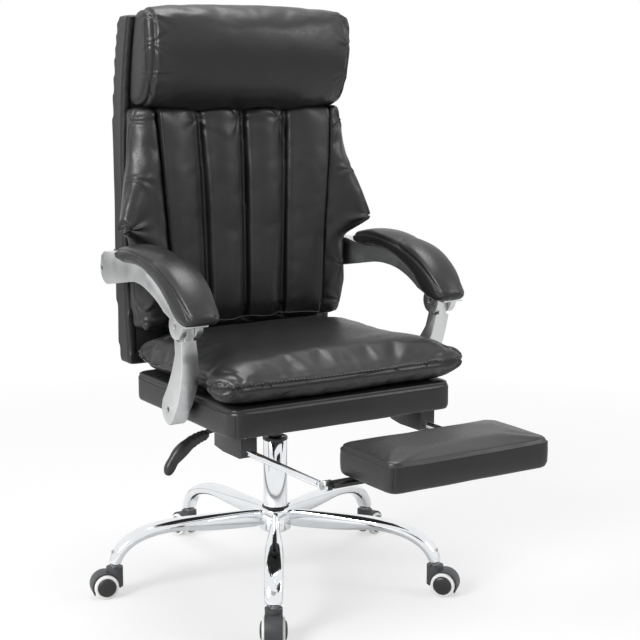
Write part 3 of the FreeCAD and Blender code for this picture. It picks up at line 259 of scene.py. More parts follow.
def swept(bm, stations, sides=20):
    # a form through loops: each has a centre, the way it faces, its side, half sizes and how square it is
    loops = []
    for centre, ahead, side, halfWide, halfDeep, square in stations:
        ahead, side = Vector(ahead).normalized(), Vector(side).normalized()
        turn = Matrix((side, ahead.cross(side), ahead)).transposed().to_4x4()
        made = bmesh.ops.create_circle(bm, segments=sides, radius=1.0)["verts"]
        for vert in made:
            angle = math.atan2(vert.co.y, vert.co.x)
            across = math.copysign(abs(math.cos(angle)) ** (2 / square), math.cos(angle))
            up = math.copysign(abs(math.sin(angle)) ** (2 / square), math.sin(angle))
            vert.co = Vector((across * halfWide, up * halfDeep, 0))
        bmesh.ops.transform(bm, matrix=Matrix.Translation(centre) @ turn, verts=made)
        loops.append([e for e in bm.edges if e.verts[0] in made and e.verts[1] in made])
    for near, far in zip(loops, loops[1:]):
        bmesh.ops.bridge_loops(bm, edges=near + far)
    for end in (loops[0], loops[-1]):
        bmesh.ops.edgeloop_fill(bm, edges=end)


def turnedRing(bm, profile, axis, centre, steps=48):  # a profile of radius and height spun about an axis
    axis = Vector(axis).normalized()
    side = axis.orthogonal().normalized()
    verts = [bm.verts.new(Vector(centre) + side * radius + axis * height) for radius, height in profile]
    edges = [bm.edges.new(pair) for pair in zip(verts, verts[1:])]
    if profile[0] != profile[-1] and profile[0][0] > 0 and profile[-1][0] > 0:
        edges.append(bm.edges.new((verts[-1], verts[0])))
    bmesh.ops.spin(bm, geom=verts + edges, cent=Vector(centre), axis=axis, angle=math.tau, steps=steps,
                   use_merge=True)
    bmesh.ops.remove_doubles(bm, verts=bm.verts, dist=0.005 * mm)


def subdivided(piece, levels):
    smoother = piece.modifiers.new("smooth", "SUBSURF")
    smoother.levels = smoother.render_levels = levels
    return piece


# upholstery: a cover starts as the frame's solid, is remeshed, blown up like cloth and then sewn
def softStart(nodeName, name, voxel):
    body = frame["nodes"][nodeName]["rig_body"]
    piece = finished(name, solidOf(nodeName), leather, body)
    remesh = piece.modifiers.new("even", "REMESH")
    remesh.mode = "VOXEL"
    remesh.voxel_size = voxel
    applied(piece)
    piece.data.materials.clear()
    piece.data.materials.append(leather)
    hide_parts(nodeName)
    relax(piece, 2)
    return piece


def relax(piece, times):
    bm = bmesh.new()
    bm.from_mesh(piece.data)
    for _ in range(times):
        bmesh.ops.smooth_vert(bm, verts=bm.verts, factor=0.5, use_axis_x=True, use_axis_y=True,
                              use_axis_z=True)
    bm.to_mesh(piece.data)
    bm.free()


def shadeSheetUnder(nodeName, name, lift=0.3 * mm):
    # painted shade under a board: a near-black sheet made of the board's faces that look down, lifted off it
    bm = solidOf(nodeName)
    bmesh.ops.recalc_face_normals(bm, faces=bm.faces)
    down = Vector((0, 0, -1))
    away = [face for face in bm.faces if face.normal.dot(down) < 0.8]
    bmesh.ops.delete(bm, geom=away, context="FACES")
    bmesh.ops.translate(bm, verts=bm.verts, vec=down * lift)
    finished(name, bm, seamShade, frame["nodes"][nodeName]["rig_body"])


def pointsOf(mesh, what="co"):
    values = np.empty(len(mesh.vertices) * 3)
    mesh.vertices.foreach_get(what, values)
    return values.reshape(-1, 3)


def inflate(piece, pressure, cap, held=None, slack=0.0, calm=3):
    # cloth with air inside it; held says which points the sewing holds, slack adds cloth that wrinkles
    start = pointsOf(piece.data)
    cloth = piece.modifiers.new("cover", "CLOTH")
    settings = cloth.settings
    settings.quality = 4
    settings.tension_stiffness = settings.compression_stiffness = 12
    settings.shear_stiffness = 5
    settings.bending_stiffness = 0.4
    settings.use_pressure = True
    settings.uniform_pressure_force = pressure
    settings.effector_weights.gravity = 0
    settings.shrink_min = -slack
    cloth.collision_settings.use_collision = False
    if held is not None:
        group = piece.vertex_groups.new(name="held")
        group.add([int(i) for i in np.flatnonzero(held(start))], 1.0, "REPLACE")
        settings.vertex_group_mass = "held"
    for number in range(1, 21):
        scene.frame_set(number)
    evaluated = piece.evaluated_get(bpy.context.evaluated_depsgraph_get())
    move = pointsOf(evaluated.data) - start
    length = np.linalg.norm(move, axis=1)
    move *= np.minimum(1, cap / np.maximum(length, 1e-9))[:, None]
    piece.modifiers.clear()
    piece.vertex_groups.clear()
    piece.data.vertices.foreach_set("co", (start + move).ravel())
    piece.data.update()
    scene.frame_set(1)
    relax(piece, calm)


def pushed(piece, shift):  # shift gives how far each point goes along its normal, in metres
    mesh = piece.data
    points, normals = pointsOf(mesh), pointsOf(mesh, "normal")
    mesh.vertices.foreach_set("co", (points + normals * shift(points, normals)[:, None]).ravel())
    mesh.update()


def finer(piece):
    subdivided(piece, 1)
    return applied(piece)


def groove(distance, depth, width):  # a sewn line: a narrow valley between two low shoulders
    spread = (distance / width) ** 2
    return depth * (-np.exp(-spread) + 0.25 * np.exp(-(np.sqrt(spread) - 2.6) ** 2))


def pucker(points, centre, radius, folds, height, phase=0.0):
    # folds that fan out from a point where the cover is gathered
    away = points - np.array(centre)
    reach = np.linalg.norm(away, axis=1)
    turn = np.arctan2(away[:, 2], away[:, 0] + 0.6 * away[:, 1])
    fade = np.clip(1 - reach / radius, 0, 1) ** 1.5 * np.clip(reach / (0.12 * radius), 0, 1)
    return height * fade * np.sin(folds * turn + phase + 2.0 * np.sin(3 * turn + phase))


def unevenness(points, size, height, seed):  # slow dents of about one size, from a few seeded waves
    rng = np.random.default_rng(seed)
    total = np.zeros(len(points))
    for _ in range(6):
        direction = rng.normal(size=3)
        direction /= np.linalg.norm(direction)
        total += np.sin(points @ direction * (math.tau / size) * rng.uniform(0.7, 1.4) + rng.uniform(0, 6))
    return height * total / 6


def upright(n, start, fall):  # how far the cover stands upright: 1 on its sides, falling to 0 on its top
    return np.clip(start - np.abs(n[:, 2]) * fall, 0, 1)


def laidOn(piece):  # finds the nearest places on a cover, and how it faces there, for the points of a guide
    tree = BVHTree.FromObject(piece, bpy.context.evaluated_depsgraph_get())
    return lambda guide: [tree.find_nearest(Vector(point))[:2] for point in guide]


def stitches(name, piece, guide, body, length=5 * mm, gap=3 * mm, thick=0.9 * mm):
    # one row of thread: short runs laid on the cover along a guide line
    path = laidOn(piece)(guide)
    bm = bmesh.new()
    travelled, target = 0.0, 0.0
    for (here, normal), (there, _) in zip(path, path[1:]):
        step = (there - here).length
        while travelled + step >= target and step > 1e-9:
            centre = here.lerp(there, (target - travelled) / step)
            ahead = (there - here).normalized()
            side = normal.cross(ahead).normalized()
            place = Matrix.Translation(centre) @ Matrix((ahead, side, normal)).transposed().to_4x4()
            size = Matrix.Diagonal((length, thick, thick, 1))
            made = bmesh.ops.create_cube(bm, size=1.0, matrix=place @ size)["verts"]
            for vert in [v for v in made if (v.co - centre).dot(normal) > 0]:
                vert.co -= (vert.co - centre).dot(ahead) * ahead * 0.35  # the ends dip into the cover
            target += length + gap
        travelled += step
    finished(name, bm, thread, body)


def seamLine(name, piece, guides, body, radius=0.9 * mm, material=None):
    # sewn joints: a fine line that lies on the cover along each guide, near-black painted shade of the seam
    # unless another material is given
    find = laidOn(piece)
    sides = 6
    bm = bmesh.new()
    for guide in guides:
        path = find(guide)
        rings = []
        for number, (place, normal) in enumerate(path):
            before, after = path[max(number - 1, 0)][0], path[min(number + 1, len(path) - 1)][0]
            ahead = after - before
            if ahead.length < 0.2 * mm:
                continue
            side = normal.cross(ahead).normalized()
            lift = ahead.normalized().cross(side)
            rings.append([bm.verts.new(place + radius * (side * math.cos(turn) + lift * math.sin(turn)))
                          for turn in (math.tau * k / sides for k in range(sides))])
        for near, far in zip(rings, rings[1:]):
            for k in range(sides):
                bm.faces.new((near[k], near[k - 1], far[k - 1], far[k]))
        for ring in (rings[0], rings[-1]):
            bm.faces.new(ring)
    finished(name, bm, material or seamShade, body)


def between(start, end, count=60):  # points along a straight guide
    start, end = Vector(start), Vector(end)
    return [start.lerp(end, number / count) for number in range(count + 1)]


def ringGuide(height, halfX, front, rear, count=360):  # a rounded rectangle to lay seams and stitches along
    square = 0.28
    guide = []
    for number in range(count + 1):
        angle = math.tau * number / count
        x = math.copysign(abs(math.cos(angle)) ** square, math.cos(angle)) * halfX
        y = math.copysign(abs(math.sin(angle)) ** square, math.sin(angle))
        y = (front + rear) / 2 + y * (rear - front) / 2
        guide.append((x, y, height(y) if callable(height) else height))
    return guide


# seat: a loose topper whose side seam is level in front and drops towards the back
seat = {
    "voxel": 5 * mm, "pressure": 3.0, "cap": 6 * mm, "slack": 0.02,
    "seam": 489 * mm, "seamDrop": 0.14, "seamFrom": -60 * mm, "seamHeld": 4 * mm, "heldBelow": 451 * mm,
    "crossSeam": 72 * mm, "crossSlant": 0.06, "ring": (285 * mm, -310 * mm, 160 * mm), "threadRise": 5 * mm,
    "frontGather": (262 * mm, -268 * mm, 489 * mm), "rearGather": (248 * mm, 120 * mm, 490 * mm),
    "corner": (262 * mm, -262 * mm), "cornerReach": 55 * mm, "cornerFill": 8 * mm,
}


def seatSeam(y):
    return seat["seam"] - seat["seamDrop"] * np.clip(y - seat["seamFrom"], 0, None)


def mirrored(spot, side):
    return side * spot[0], spot[1], spot[2]


def seatCushion():
    piece = softStart("seat_cushion", "seatCushion", seat["voxel"])
    inflate(piece, seat["pressure"], seat["cap"],
            lambda p: (np.abs(p[:, 2] - seatSeam(p[:, 1])) < seat["seamHeld"]) | (p[:, 2] < seat["heldBelow"]),
            slack=seat["slack"])
    finer(piece)

    def sewn(p, n):
        x, y, z = p.T
        shift = groove(z - seatSeam(y), depth=3.4 * mm, width=3.2 * mm) * upright(n, 1.4, 1.2)
        cross = y - (seat["crossSeam"] + seat["crossSlant"] * x)
        shift += groove(cross, depth=3.0 * mm, width=3.4 * mm) * (n[:, 2] > 0.5)
        for side in (-1, 1):
            shift += pucker(p, mirrored(seat["frontGather"], side), radius=85 * mm, folds=7, height=3.2 * mm,
                            phase=side)
            shift += pucker(p, mirrored(seat["rearGather"], side), radius=90 * mm, folds=6, height=2.2 * mm,
                            phase=2 + side)
        away = np.hypot(np.abs(x) - seat["corner"][0], y - seat["corner"][1])
        shift += seat["cornerFill"] * np.exp(-(away / seat["cornerReach"]) ** 2) * upright(n, 1, 1)
        return (shift + unevenness(p, size=190 * mm, height=1.6 * mm, seed=3)
                + unevenness(p, size=60 * mm, height=0.5 * mm, seed=5))

    pushed(piece, sewn)
    return piece


cushion = seatCushion()
stitches("seatSeamThread", cushion, ringGuide(lambda y: float(seatSeam(y)) + seat["threadRise"], *seat["ring"]),
         "seat")
# the seat's seam line: a dark line of painted shade along the side seam
seamLine("seatSeam", cushion, [ringGuide(lambda y: float(seatSeam(y)), *seat["ring"])], "seat")
print("seat cushion done")


# two firm upholstered blocks with a welt and sewn front corners: the base pad and the footrest's pad
basePad = {
    "voxel": 5 * mm, "pressure": 1.4, "cap": 3 * mm, "welt": 440 * mm, "weltDepth": 1.7 * mm,
    "weltWidth": 2.2 * mm, "weltFall": 1.3, "corner": (246 * mm, -274 * mm), "cornerDepth": 1.5 * mm,
    "cornerWidth": 3.4 * mm, "dents": (120 * mm, 0.7 * mm, 7), "heldAbove": 437 * mm, "heldBelow": 391 * mm,
    "ring": (437 * mm, 262 * mm, -290 * mm, 158 * mm), "cornerLine": (254 * mm, -282 * mm, 436 * mm, 392 * mm),
}
footrestPad = {
    "voxel": 4 * mm, "pressure": 1.6, "cap": 4 * mm, "welt": 421 * mm, "weltDepth": 1.8 * mm,
    "weltWidth": 2.0 * mm, "weltFall": 1.2, "corner": (167 * mm, -665 * mm), "cornerDepth": 1.4 * mm,
    "cornerWidth": 3.0 * mm, "dents": (90 * mm, 0.6 * mm, 11), "weltHeld": 3 * mm, "heldBelow": 374 * mm,
    "ring": (420 * mm, 182 * mm, -680 * mm, -490 * mm), "cornerLine": (174 * mm, -672 * mm, 419 * mm, 376 * mm),
}


def firmPad(nodeName, name, pad, held):
    piece = softStart(nodeName, name, pad["voxel"])
    inflate(piece, pad["pressure"], pad["cap"], held)
    finer(piece)

    def sewn(p, n):
        x, y, z = p.T
        shift = groove(z - pad["welt"], pad["weltDepth"], pad["weltWidth"]) * upright(n, 1.3, pad["weltFall"])
        for side in (-1, 1):
            corner = np.hypot(x - side * pad["corner"][0], y - pad["corner"][1])
            shift += groove(corner, pad["cornerDepth"], pad["cornerWidth"]) * (z < pad["welt"])
        return shift + unevenness(p, *pad["dents"])

    pushed(piece, sewn)
    return piece


# the pads' seam lines: dark lines of painted shade along the welt and the sewn front corners
def firmPadSeamShade(name, piece, pad, body):
    x, y, high, low = pad["cornerLine"]
    corners = [between((side * x, y, high), (side * x, y, low)) for side in (-1, 1)]
    seamLine(name, piece, [ringGuide(*pad["ring"])] + corners, body)


basePiece = firmPad("seat_base_pad", "seatBasePad", basePad,
                    lambda p: (p[:, 2] > basePad["heldAbove"]) | (p[:, 2] < basePad["heldBelow"]))
firmPadSeamShade("basePadSeamShade", basePiece, basePad, "seat")
footPiece = firmPad("footrest_pad", "footrestPad", footrestPad,
                    lambda p: (np.abs(p[:, 2] - footrestPad["welt"]) < footrestPad["weltHeld"])
                    | (p[:, 2] < footrestPad["heldBelow"]))
firmPadSeamShade("footrestSeamShade", footPiece, footrestPad, "footrest")
print("pads done")


# back: the line of the shell's front face and of the channelled panel's edge
back = {
    "upright": 186 * mm, "waist": 760 * mm, "crest": 860 * mm, "top": 1167 * mm, "low": 453 * mm,
    "headLean": 45 * mm, "seatLean": 14 * mm,
    "panelLow": 529 * mm, "panelTop": 968 * mm, "panelHalf": 184 * mm, "knee": 702 * mm, "taper": 6 * mm,
    "flare": 20 * mm, "grooveHalf": 92 * mm, "headRise": 16 * mm, "headFrom": 900 * mm,
}


def depthOfBack(z):  # the front face of the shell: upright, leaning forward towards the head and the seat
    def arc(away, rise, reach):
        radius = (rise ** 2 + reach ** 2) / (2 * reach)
        return radius - np.sqrt(radius ** 2 - away ** 2)

    upper = arc(np.clip(z - back["crest"], 0, None), back["top"] - back["crest"], back["headLean"])
    lower = arc(np.clip(back["waist"] - z, 0, None), back["waist"] - back["low"], back["seatLean"])
    return back["upright"] - upper - lower


def grooveDistance(p):  # how far a point is across the cushion from the nearest sewn channel line
    share = (p[:, 2] - back["panelLow"]) / (back["panelTop"] - back["panelLow"])
    half = back["grooveHalf"] * (0.97 + 0.14 * np.clip(share, 0, 1) ** 1.6)
    return np.minimum(np.abs(p[:, 0]), np.abs(np.abs(p[:, 0]) - half))


def panelEdge(z):  # half the width of the channelled panel at a height
    low, knee, high = back["panelLow"], back["knee"], back["panelTop"]
    below = back["panelHalf"] - back["taper"] * np.clip((knee - z) / (knee - low), 0, 1)
    return below + back["flare"] * np.clip((z - knee) / (high - knee), 0, 1)


def levelled(piece, reach, fill):  # the cover runs on over the side seam: what stands back there comes forward
    mesh = piece.data
    points = pointsOf(mesh)
    away = np.abs(np.abs(points[:, 0]) - panelEdge(points[:, 2]))
    front = np.clip((depthOfBack(points[:, 2]) - points[:, 1] - 8 * mm) / (30 * mm), 0, 1)
    points[:, 1] -= fill * np.clip(1 - away / reach, 0, 1) ** 2 * front
    rising = (points[:, 2] - back["headFrom"]) / (back["panelTop"] - back["headFrom"])
    points[:, 2] += back["headRise"] * np.clip(rising, 0, 1)
    mesh.vertices.foreach_set("co", points.ravel())
    mesh.update()


# back shell: two seams round its sides and a sewn panel behind
shell = {"voxel": 6 * mm, "sideSeams": (8 * mm, 52 * mm), "panel": (222 * mm, 333 * mm),
         "panelMiddle": 810 * mm}


def shellCover():
    piece = softStart("back_shell", "backShell", shell["voxel"])
    finer(piece)

    def sewn(p, n):
        x, y, z = p.T
        shift = np.zeros(len(p))
        sides = np.abs(n[:, 0]) > 0.5
        for behind in shell["sideSeams"]:
            shift += groove(y - depthOfBack(z) - behind, depth=1.8 * mm, width=2.4 * mm) * sides
        panel = np.maximum(np.abs(x) - shell["panel"][0], np.abs(z - shell["panelMiddle"]) - shell["panel"][1])
        shift += groove(panel, depth=1.8 * mm, width=2.4 * mm) * (n[:, 1] > 0.6)
        return shift + unevenness(p, size=160 * mm, height=1.0 * mm, seed=13)

    pushed(piece, sewn)


# back cushion: four channels, gathered where their seams end
channels = {
    "voxel": 5 * mm, "pressure": 2.4, "cap": 7 * mm, "slack": 0.004, "calm": 8, "level": (46 * mm, 29 * mm),
    "grooveHeld": 5 * mm, "rearHeld": 14 * mm, "edgeHeld": 7 * mm, "gathersAcross": (-92, 0, 92),
    "gatherTop": (92 * mm, 960 * mm), "gatherLow": (100 * mm, 536 * mm),
}


def channelHeld(p):
    return ((grooveDistance(p) < channels["grooveHeld"])
            | (p[:, 1] > depthOfBack(p[:, 2]) - channels["rearHeld"])
            | (panelEdge(p[:, 2]) - np.abs(p[:, 0]) < channels["edgeHeld"]))


def channelCushion():
    piece = softStart("back_cushion", "backCushion", channels["voxel"])
    levelled(piece, *channels["level"])
    inflate(piece, channels["pressure"], channels["cap"], channelHeld, channels["slack"], channels["calm"])
    finer(piece)

    def sewn(p, n):
        front = np.clip(-n[:, 1] * 1.5 + 0.5, 0, 1)
        shift = groove(grooveDistance(p), depth=5 * mm, width=4.5 * mm) * front
        edge = np.abs(p[:, 0]) - panelEdge(p[:, 2]) + 1 * mm
        shift += groove(edge, depth=1.5 * mm, width=3 * mm) * front
        for across in channels["gathersAcross"]:
            top, low = [(across * mm, *channels[end]) for end in ("gatherTop", "gatherLow")]
            shift += pucker(p, top, radius=75 * mm, folds=4, height=3.0 * mm, phase=across) * front
            shift += pucker(p, low, radius=60 * mm, folds=4, height=1.6 * mm, phase=across + 2) * front
        return shift + unevenness(p, size=230 * mm, height=1.6 * mm, seed=17)

    pushed(piece, sewn)
    return piece


# side wings, gathered at their tips and where they meet the pillow and the seat
wingSizes = {
    "voxel": 4.5 * mm, "pressure": 1.8, "cap": 5 * mm, "slack": 0.015, "calm": 8, "level": (40 * mm, 13 * mm),
    "rearHeld": 14 * mm, "edgeHeld": 6 * mm, "rim": 40 * mm,
    "gathers": (  # millimetres: x, y, z, the reach of the folds and their height
        (244, 100, 955, 80, 2.6), (290, 96, 745, 75, 4.0), (262, 88, 850, 60, 2.4), (240, 108, 560, 80, 3.0),
        (230, 96, 640, 60, 2.0)),
}


def wingHeld(p):
    return ((p[:, 1] > depthOfBack(p[:, 2]) - wingSizes["rearHeld"])
            | (np.abs(p[:, 0]) - panelEdge(p[:, 2]) < wingSizes["edgeHeld"]))


def wing(side, word):
    piece = softStart(f"side_wing_{word}", f"sideWing{word.capitalize()}", wingSizes["voxel"])
    levelled(piece, *wingSizes["level"])
    relax(piece, 10)
    inflate(piece, wingSizes["pressure"], wingSizes["cap"], wingHeld, wingSizes["slack"], wingSizes["calm"])
    finer(piece)

    def sewn(p, n):
        rim = np.abs(p[:, 1] - (depthOfBack(p[:, 2]) - wingSizes["rim"]))
        shift = groove(rim, depth=2.2 * mm, width=2.8 * mm) * (np.abs(n[:, 0]) > 0.55)
        for number, (x, y, z, reach, height) in enumerate(wingSizes["gathers"]):
            shift += pucker(p, (side * x * mm, y * mm, z * mm), reach * mm, 6, height * mm, number + side)
        return shift + unevenness(p, size=150 * mm, height=1.6 * mm, seed=23 + side)

    pushed(piece, sewn)


# head pillow, gathered along the seams of its two ends
pillow = {
    "voxel": 5 * mm, "pressure": 2.4, "cap": 7 * mm, "slack": 0.006, "calm": 8, "rearHeld": 6 * mm,
    "end": 226 * mm, "gatherDepth": 60 * mm, "gathers": ((1172, 3.6), (1110, 1.4), (1050, 1.4), (990, 3.0)),
}


def pillowHeld(p):
    return (p[:, 1] > depthOfBack(p[:, 2]) - pillow["rearHeld"]) | (np.abs(p[:, 0]) > pillow["end"])


def headPillow():
    piece = softStart("headrest", "headrestPillow", pillow["voxel"])
    inflate(piece, pillow["pressure"], pillow["cap"], pillowHeld, pillow["slack"], pillow["calm"])
    finer(piece)

    def sewn(p, n):
        ends = np.abs(p[:, 0]) - pillow["end"]
        shift = groove(ends, depth=3.0 * mm, width=3.2 * mm) * (n[:, 1] < 0.4)
        for side in (-1, 1):
            for z, height in pillow["gathers"]:
                spot = (side * pillow["end"], pillow["gatherDepth"], z * mm)
                shift += pucker(p, spot, radius=62 * mm, folds=5, height=height * mm, phase=z + side)
        return shift + unevenness(p, size=240 * mm, height=2.2 * mm, seed=29)

    pushed(piece, sewn)
    return piece


# seams of the back, each a guide that a line is laid along: dark painted shade at the wings and the pillow,
# thread where the back meets the seat
backSeams = {"wingHeights": range(560, 961, 8), "wingInset": 2 * mm, "wingFront": 92 * mm,
             "pillowEnd": 232 * mm, "pillowDepth": 90 * mm, "pillowHeights": range(984, 1176, 4),
             "joinHalf": 176 * mm, "joinDepth": 92 * mm, "joinHeight": 534 * mm}


def wingGuide(side):  # where the channelled panel is sewn to a wing
    guide = []
    for height in backSeams["wingHeights"]:
        z = height * mm
        edge, depth = float(panelEdge(np.array(z))), float(depthOfBack(np.array(z)))
        guide.append((side * (edge - backSeams["wingInset"]), depth - backSeams["wingFront"], z))
    return guide


shellCover()
channelPiece = channelCushion()
for side, word in ((-1, "right"), (1, "left")):
    wing(side, word)
pillowPiece = headPillow()
# dark lines of painted shade along the seams of the wings and of the pillow's ends
for side, word in ((-1, "right"), (1, "left")):
    seamLine(f"wingSeamShade{word.capitalize()}", channelPiece, [wingGuide(side)], "back", 1.2 * mm)
seamLine("pillowSeamShade", pillowPiece, [
    [(side * backSeams["pillowEnd"], backSeams["pillowDepth"], z * mm) for z in backSeams["pillowHeights"]]
    for side in (-1, 1)], "back")
seatJoin = [(side * backSeams["joinHalf"], backSeams["joinDepth"], backSeams["joinHeight"]) for side in (-1, 1)]
seamLine("seatJoinThread", channelPiece, [between(*seatJoin, 120)], "back", 0.7 * mm, thread)
# near-black sheets of painted shade under the seat frame and the footrest board
shadeSheetUnder("seat_frame", "seatUndersideShade")
shadeSheetUnder("footrest_board", "footrestUndersideShade")
print("back done")

# armrests: the line runs from the knuckle to the rear pivot, as (y, z); the seam is given along it
arm = {
    "knuckle": (-175 * mm, 593 * mm), "rear": (200 * mm, 658 * mm), "voxel": 4 * mm, "pressure": 1.8,
    "cap": 4 * mm, "rims": (240 * mm, 324 * mm),
    "seam": ((0.735, 66), (0.66, 76), (0.58, 83), (0.5, 87), (0.38, 89.5), (0.28, 89), (0.18, 84.5), (0.1, 78),
             (0.03, 69), (-0.03, 58), (-0.08, 46), (-0.115, 36), (-0.135, 30)),
}


def onArm(share, height):  # a place (y, z) along the arm's line and square above it, height in millimetres
    start, end = Vector(arm["knuckle"]), Vector(arm["rear"])
    run = end - start
    up = Vector((-run.y, run.x)).normalized()
    return start + run * share + up * height * mm


armSeam = [onArm(share, height) for share, height in arm["seam"]]


def armPad(side, word):
    piece = softStart(f"arm_pad_{word}", f"armPad{word.capitalize()}", arm["voxel"])
    inflate(piece, arm["pressure"], arm["cap"])
    finer(piece)

    def sewn(p, n):
        nearest = np.full(len(p), 1.0)
        for here, there in zip(armSeam, armSeam[1:]):
            run = np.array(there - here)
            away = p[:, 1:] - np.array(here)
            share = np.clip(away @ run / (run @ run), 0, 1)
            nearest = np.minimum(nearest, np.linalg.norm(away - share[:, None] * run, axis=1))
        shift = groove(nearest, depth=2.2 * mm, width=2.2 * mm) * (np.abs(n[:, 0]) > 0.3)
        return shift + unevenness(p, size=110 * mm, height=0.5 * mm, seed=41)

    pushed(piece, sewn)
    # a dark line of painted shade along the pad's seam on each side
    edges = []
    for rim in arm["rims"]:
        path = [Vector((side * rim, spot.x, spot.y)) for spot in armSeam]
        edges.append([spot for here, there in zip(path, path[1:]) for spot in between(here, there, 8)])
    seamLine(f"armPadSeamShade{word.capitalize()}", piece, edges, frame["nodes"][f"arm_pad_{word}"]["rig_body"])


for side, word in ((-1, "right"), (1, "left")):
    armPad(side, word)
    roundedCopy(f"arm_beam_{word}", f"armBeam{word.capitalize()}", 2.2 * mm, 3)
    roundedCopy(f"arm_link_{word}", f"armLink{word.capitalize()}", 2.2 * mm, 3)
    roundedCopy(f"knuckle_pin_{word}", f"knucklePin{word.capitalize()}", 0.8 * mm)
print("armrests done")

# star base and column
base = {"stemCircle": 344 * mm, "turn": 239, "arms": 5, "hubTop": 155 * mm, "hubBottom": 108 * mm,
        "hub": 32 * mm, "bore": 25.3 * mm}


def turned(name, profile, material, steps):  # a piece of the base, spun about the column
    bm = bmesh.new()
    turnedRing(bm, profile, (0, 0, 1), (0, 0, 0), steps)
    piece = finished(name, bm, material, "base")
    piece.data.set_sharp_from_angle(angle=math.radians(40))
    return piece


def starBase():
    bm = bmesh.new()
    reach = base["stemCircle"]
    rows = [  # share of the reach, height of the middle, slope, half width, half depth, squareness
        (0.055, 134, 0, 8.5, 19, 3.2), (0.2, 134, 0, 9, 19, 3.0), (0.35, 134, 0, 11, 18.5, 2.8),
        (0.5, 135.5, -1, 15, 16.5, 2.6), (0.62, 138, -4, 18, 13, 2.5), (0.74, 133.5, -13, 18.5, 12.5, 2.5),
        (0.84, 125, -27, 18.5, 12.5, 2.5), (0.92, 110, -47, 18.5, 12.5, 2.4), (0.97, 92, -66, 18.3, 12.5, 2.4),
        (0.995, 76, -82, 17.5, 12.5, 2.3), (1.0, 65.2, -90, 16.5, 12.5, 2.2)]
    for number in range(base["arms"]):
        angle = math.radians(base["turn"] + number * 360 / base["arms"])
        out = Vector((math.cos(angle), math.sin(angle), 0))
        side = Vector((-math.sin(angle), math.cos(angle), 0))
        stations = []
        for share, height, slope, halfWide, halfDeep, square in rows:
            lean = math.radians(slope)
            ahead = out * math.cos(lean) + Vector((0, 0, math.sin(lean)))
            centre = out * share * reach + Vector((0, 0, height * mm))
            stations.append((centre, ahead, side, halfWide * mm, halfDeep * mm, square))
        swept(bm, stations, 24)
    piece = finished("starBase", bm, chrome, "base")
    applied(subdivided(piece, 2))
    hub, low, high, bore = base["hub"], base["hubBottom"], base["hubTop"], base["bore"]
    turned("starHub", [(bore, low), (hub - 1.5 * mm, low), (hub, low + 1.5 * mm), (hub, high - 6 * mm),
                       (hub - 1 * mm, high - 3.5 * mm), (hub - 4.2 * mm, high), (bore, high)],
           chrome, 72)
    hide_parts("base_star")


starBase()


def columnParts():  # each profile is in millimetres: radius and height
    def scaled(*profile):
        return [(radius * mm, height * mm) for radius, height in profile]

    tube = turned("columnTube", scaled((23, 103.5), (25, 104.5), (25, 299), (24.2, 300), (23, 300)), chrome,
                  96)
    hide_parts("column_tube")
    collar = turned("columnCollar", scaled(
        (14.1, 290), (22.9, 290), (22.9, 300.1), (26, 300.3), (26.3, 301.5), (26.3, 305), (25.4, 306.6),
        (22, 307), (21, 306.2), (14.1, 306.2)), blackNylon, 96)
    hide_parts("column_collar")
    bm = bmesh.new()
    turnedRing(bm, scaled((25.1, 155.1), (28.6, 155.1), (28.2, 157), (25.1, 159)), (0, 0, 1), (0, 0, 0), 72)
    finished("hubSeal", bm, blackNylon, "base")


columnParts()
print("base done")


# casters: rounded hood, two white treads and their domed hub caps
casterSizes = {"axleCircle": 364 * mm, "radius": 25 * mm, "face": 11.2 * mm, "end": 22 * mm, "axle": 5 * mm,
               "capRadius": 18.6 * mm}


def caster(number):
    angle = math.radians(base["turn"] + (number - 1) * 360 / base["arms"])
    out = Vector((math.cos(angle), math.sin(angle), 0))
    axle = Vector((-math.sin(angle), math.cos(angle), 0))
    radius, face, end = casterSizes["radius"], casterSizes["face"], casterSizes["end"]
    bore, cap = casterSizes["axle"], casterSizes["capRadius"]
    centre = out * casterSizes["axleCircle"] + Vector((0, 0, radius))
    treadProfile = [
        (bore, face), (radius - 1.4 * mm, face), (radius - 0.2 * mm, face + 1.4 * mm), (radius, face + 3 * mm),
        (radius, end - 3 * mm), (radius - 0.6 * mm, end - 1 * mm), (radius - 2.2 * mm, end),
        (cap + 1 * mm, end - 0.2 * mm), (cap + 0.3 * mm, end - 1.4 * mm), (bore, end - 1.4 * mm)]
    capProfile = [
        (cap, end - 1.5 * mm), (cap, end + 0.6 * mm), (cap - 1 * mm, end + 1.8 * mm), (14 * mm, end + 3.3 * mm),
        (8 * mm, end + 4.3 * mm), (0, end + 4.6 * mm)]
    roundedCopy(f"caster_{number}_hood", f"casterHood{number}", 1.6 * mm, 3)
    treadBm, capBm = bmesh.new(), bmesh.new()
    for side in (-1, 1):
        turnedRing(treadBm, treadProfile, axle * side, centre, 56)
        turnedRing(capBm, capProfile, axle * side, centre, 56)
    tread = finished(f"casterTreads{number}", treadBm, treadPlastic, f"wheels_{number}")
    hubCap = finished(f"casterCaps{number}", capBm, blackNylon, f"wheels_{number}")
    for piece in (tread, hubCap):
        piece.data.set_sharp_from_angle(angle=math.radians(50))
    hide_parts(f"caster_{number}_wheels")
    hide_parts(f"caster_{number}_hub")


for number in range(1, 6):
    caster(number)
print("casters done")


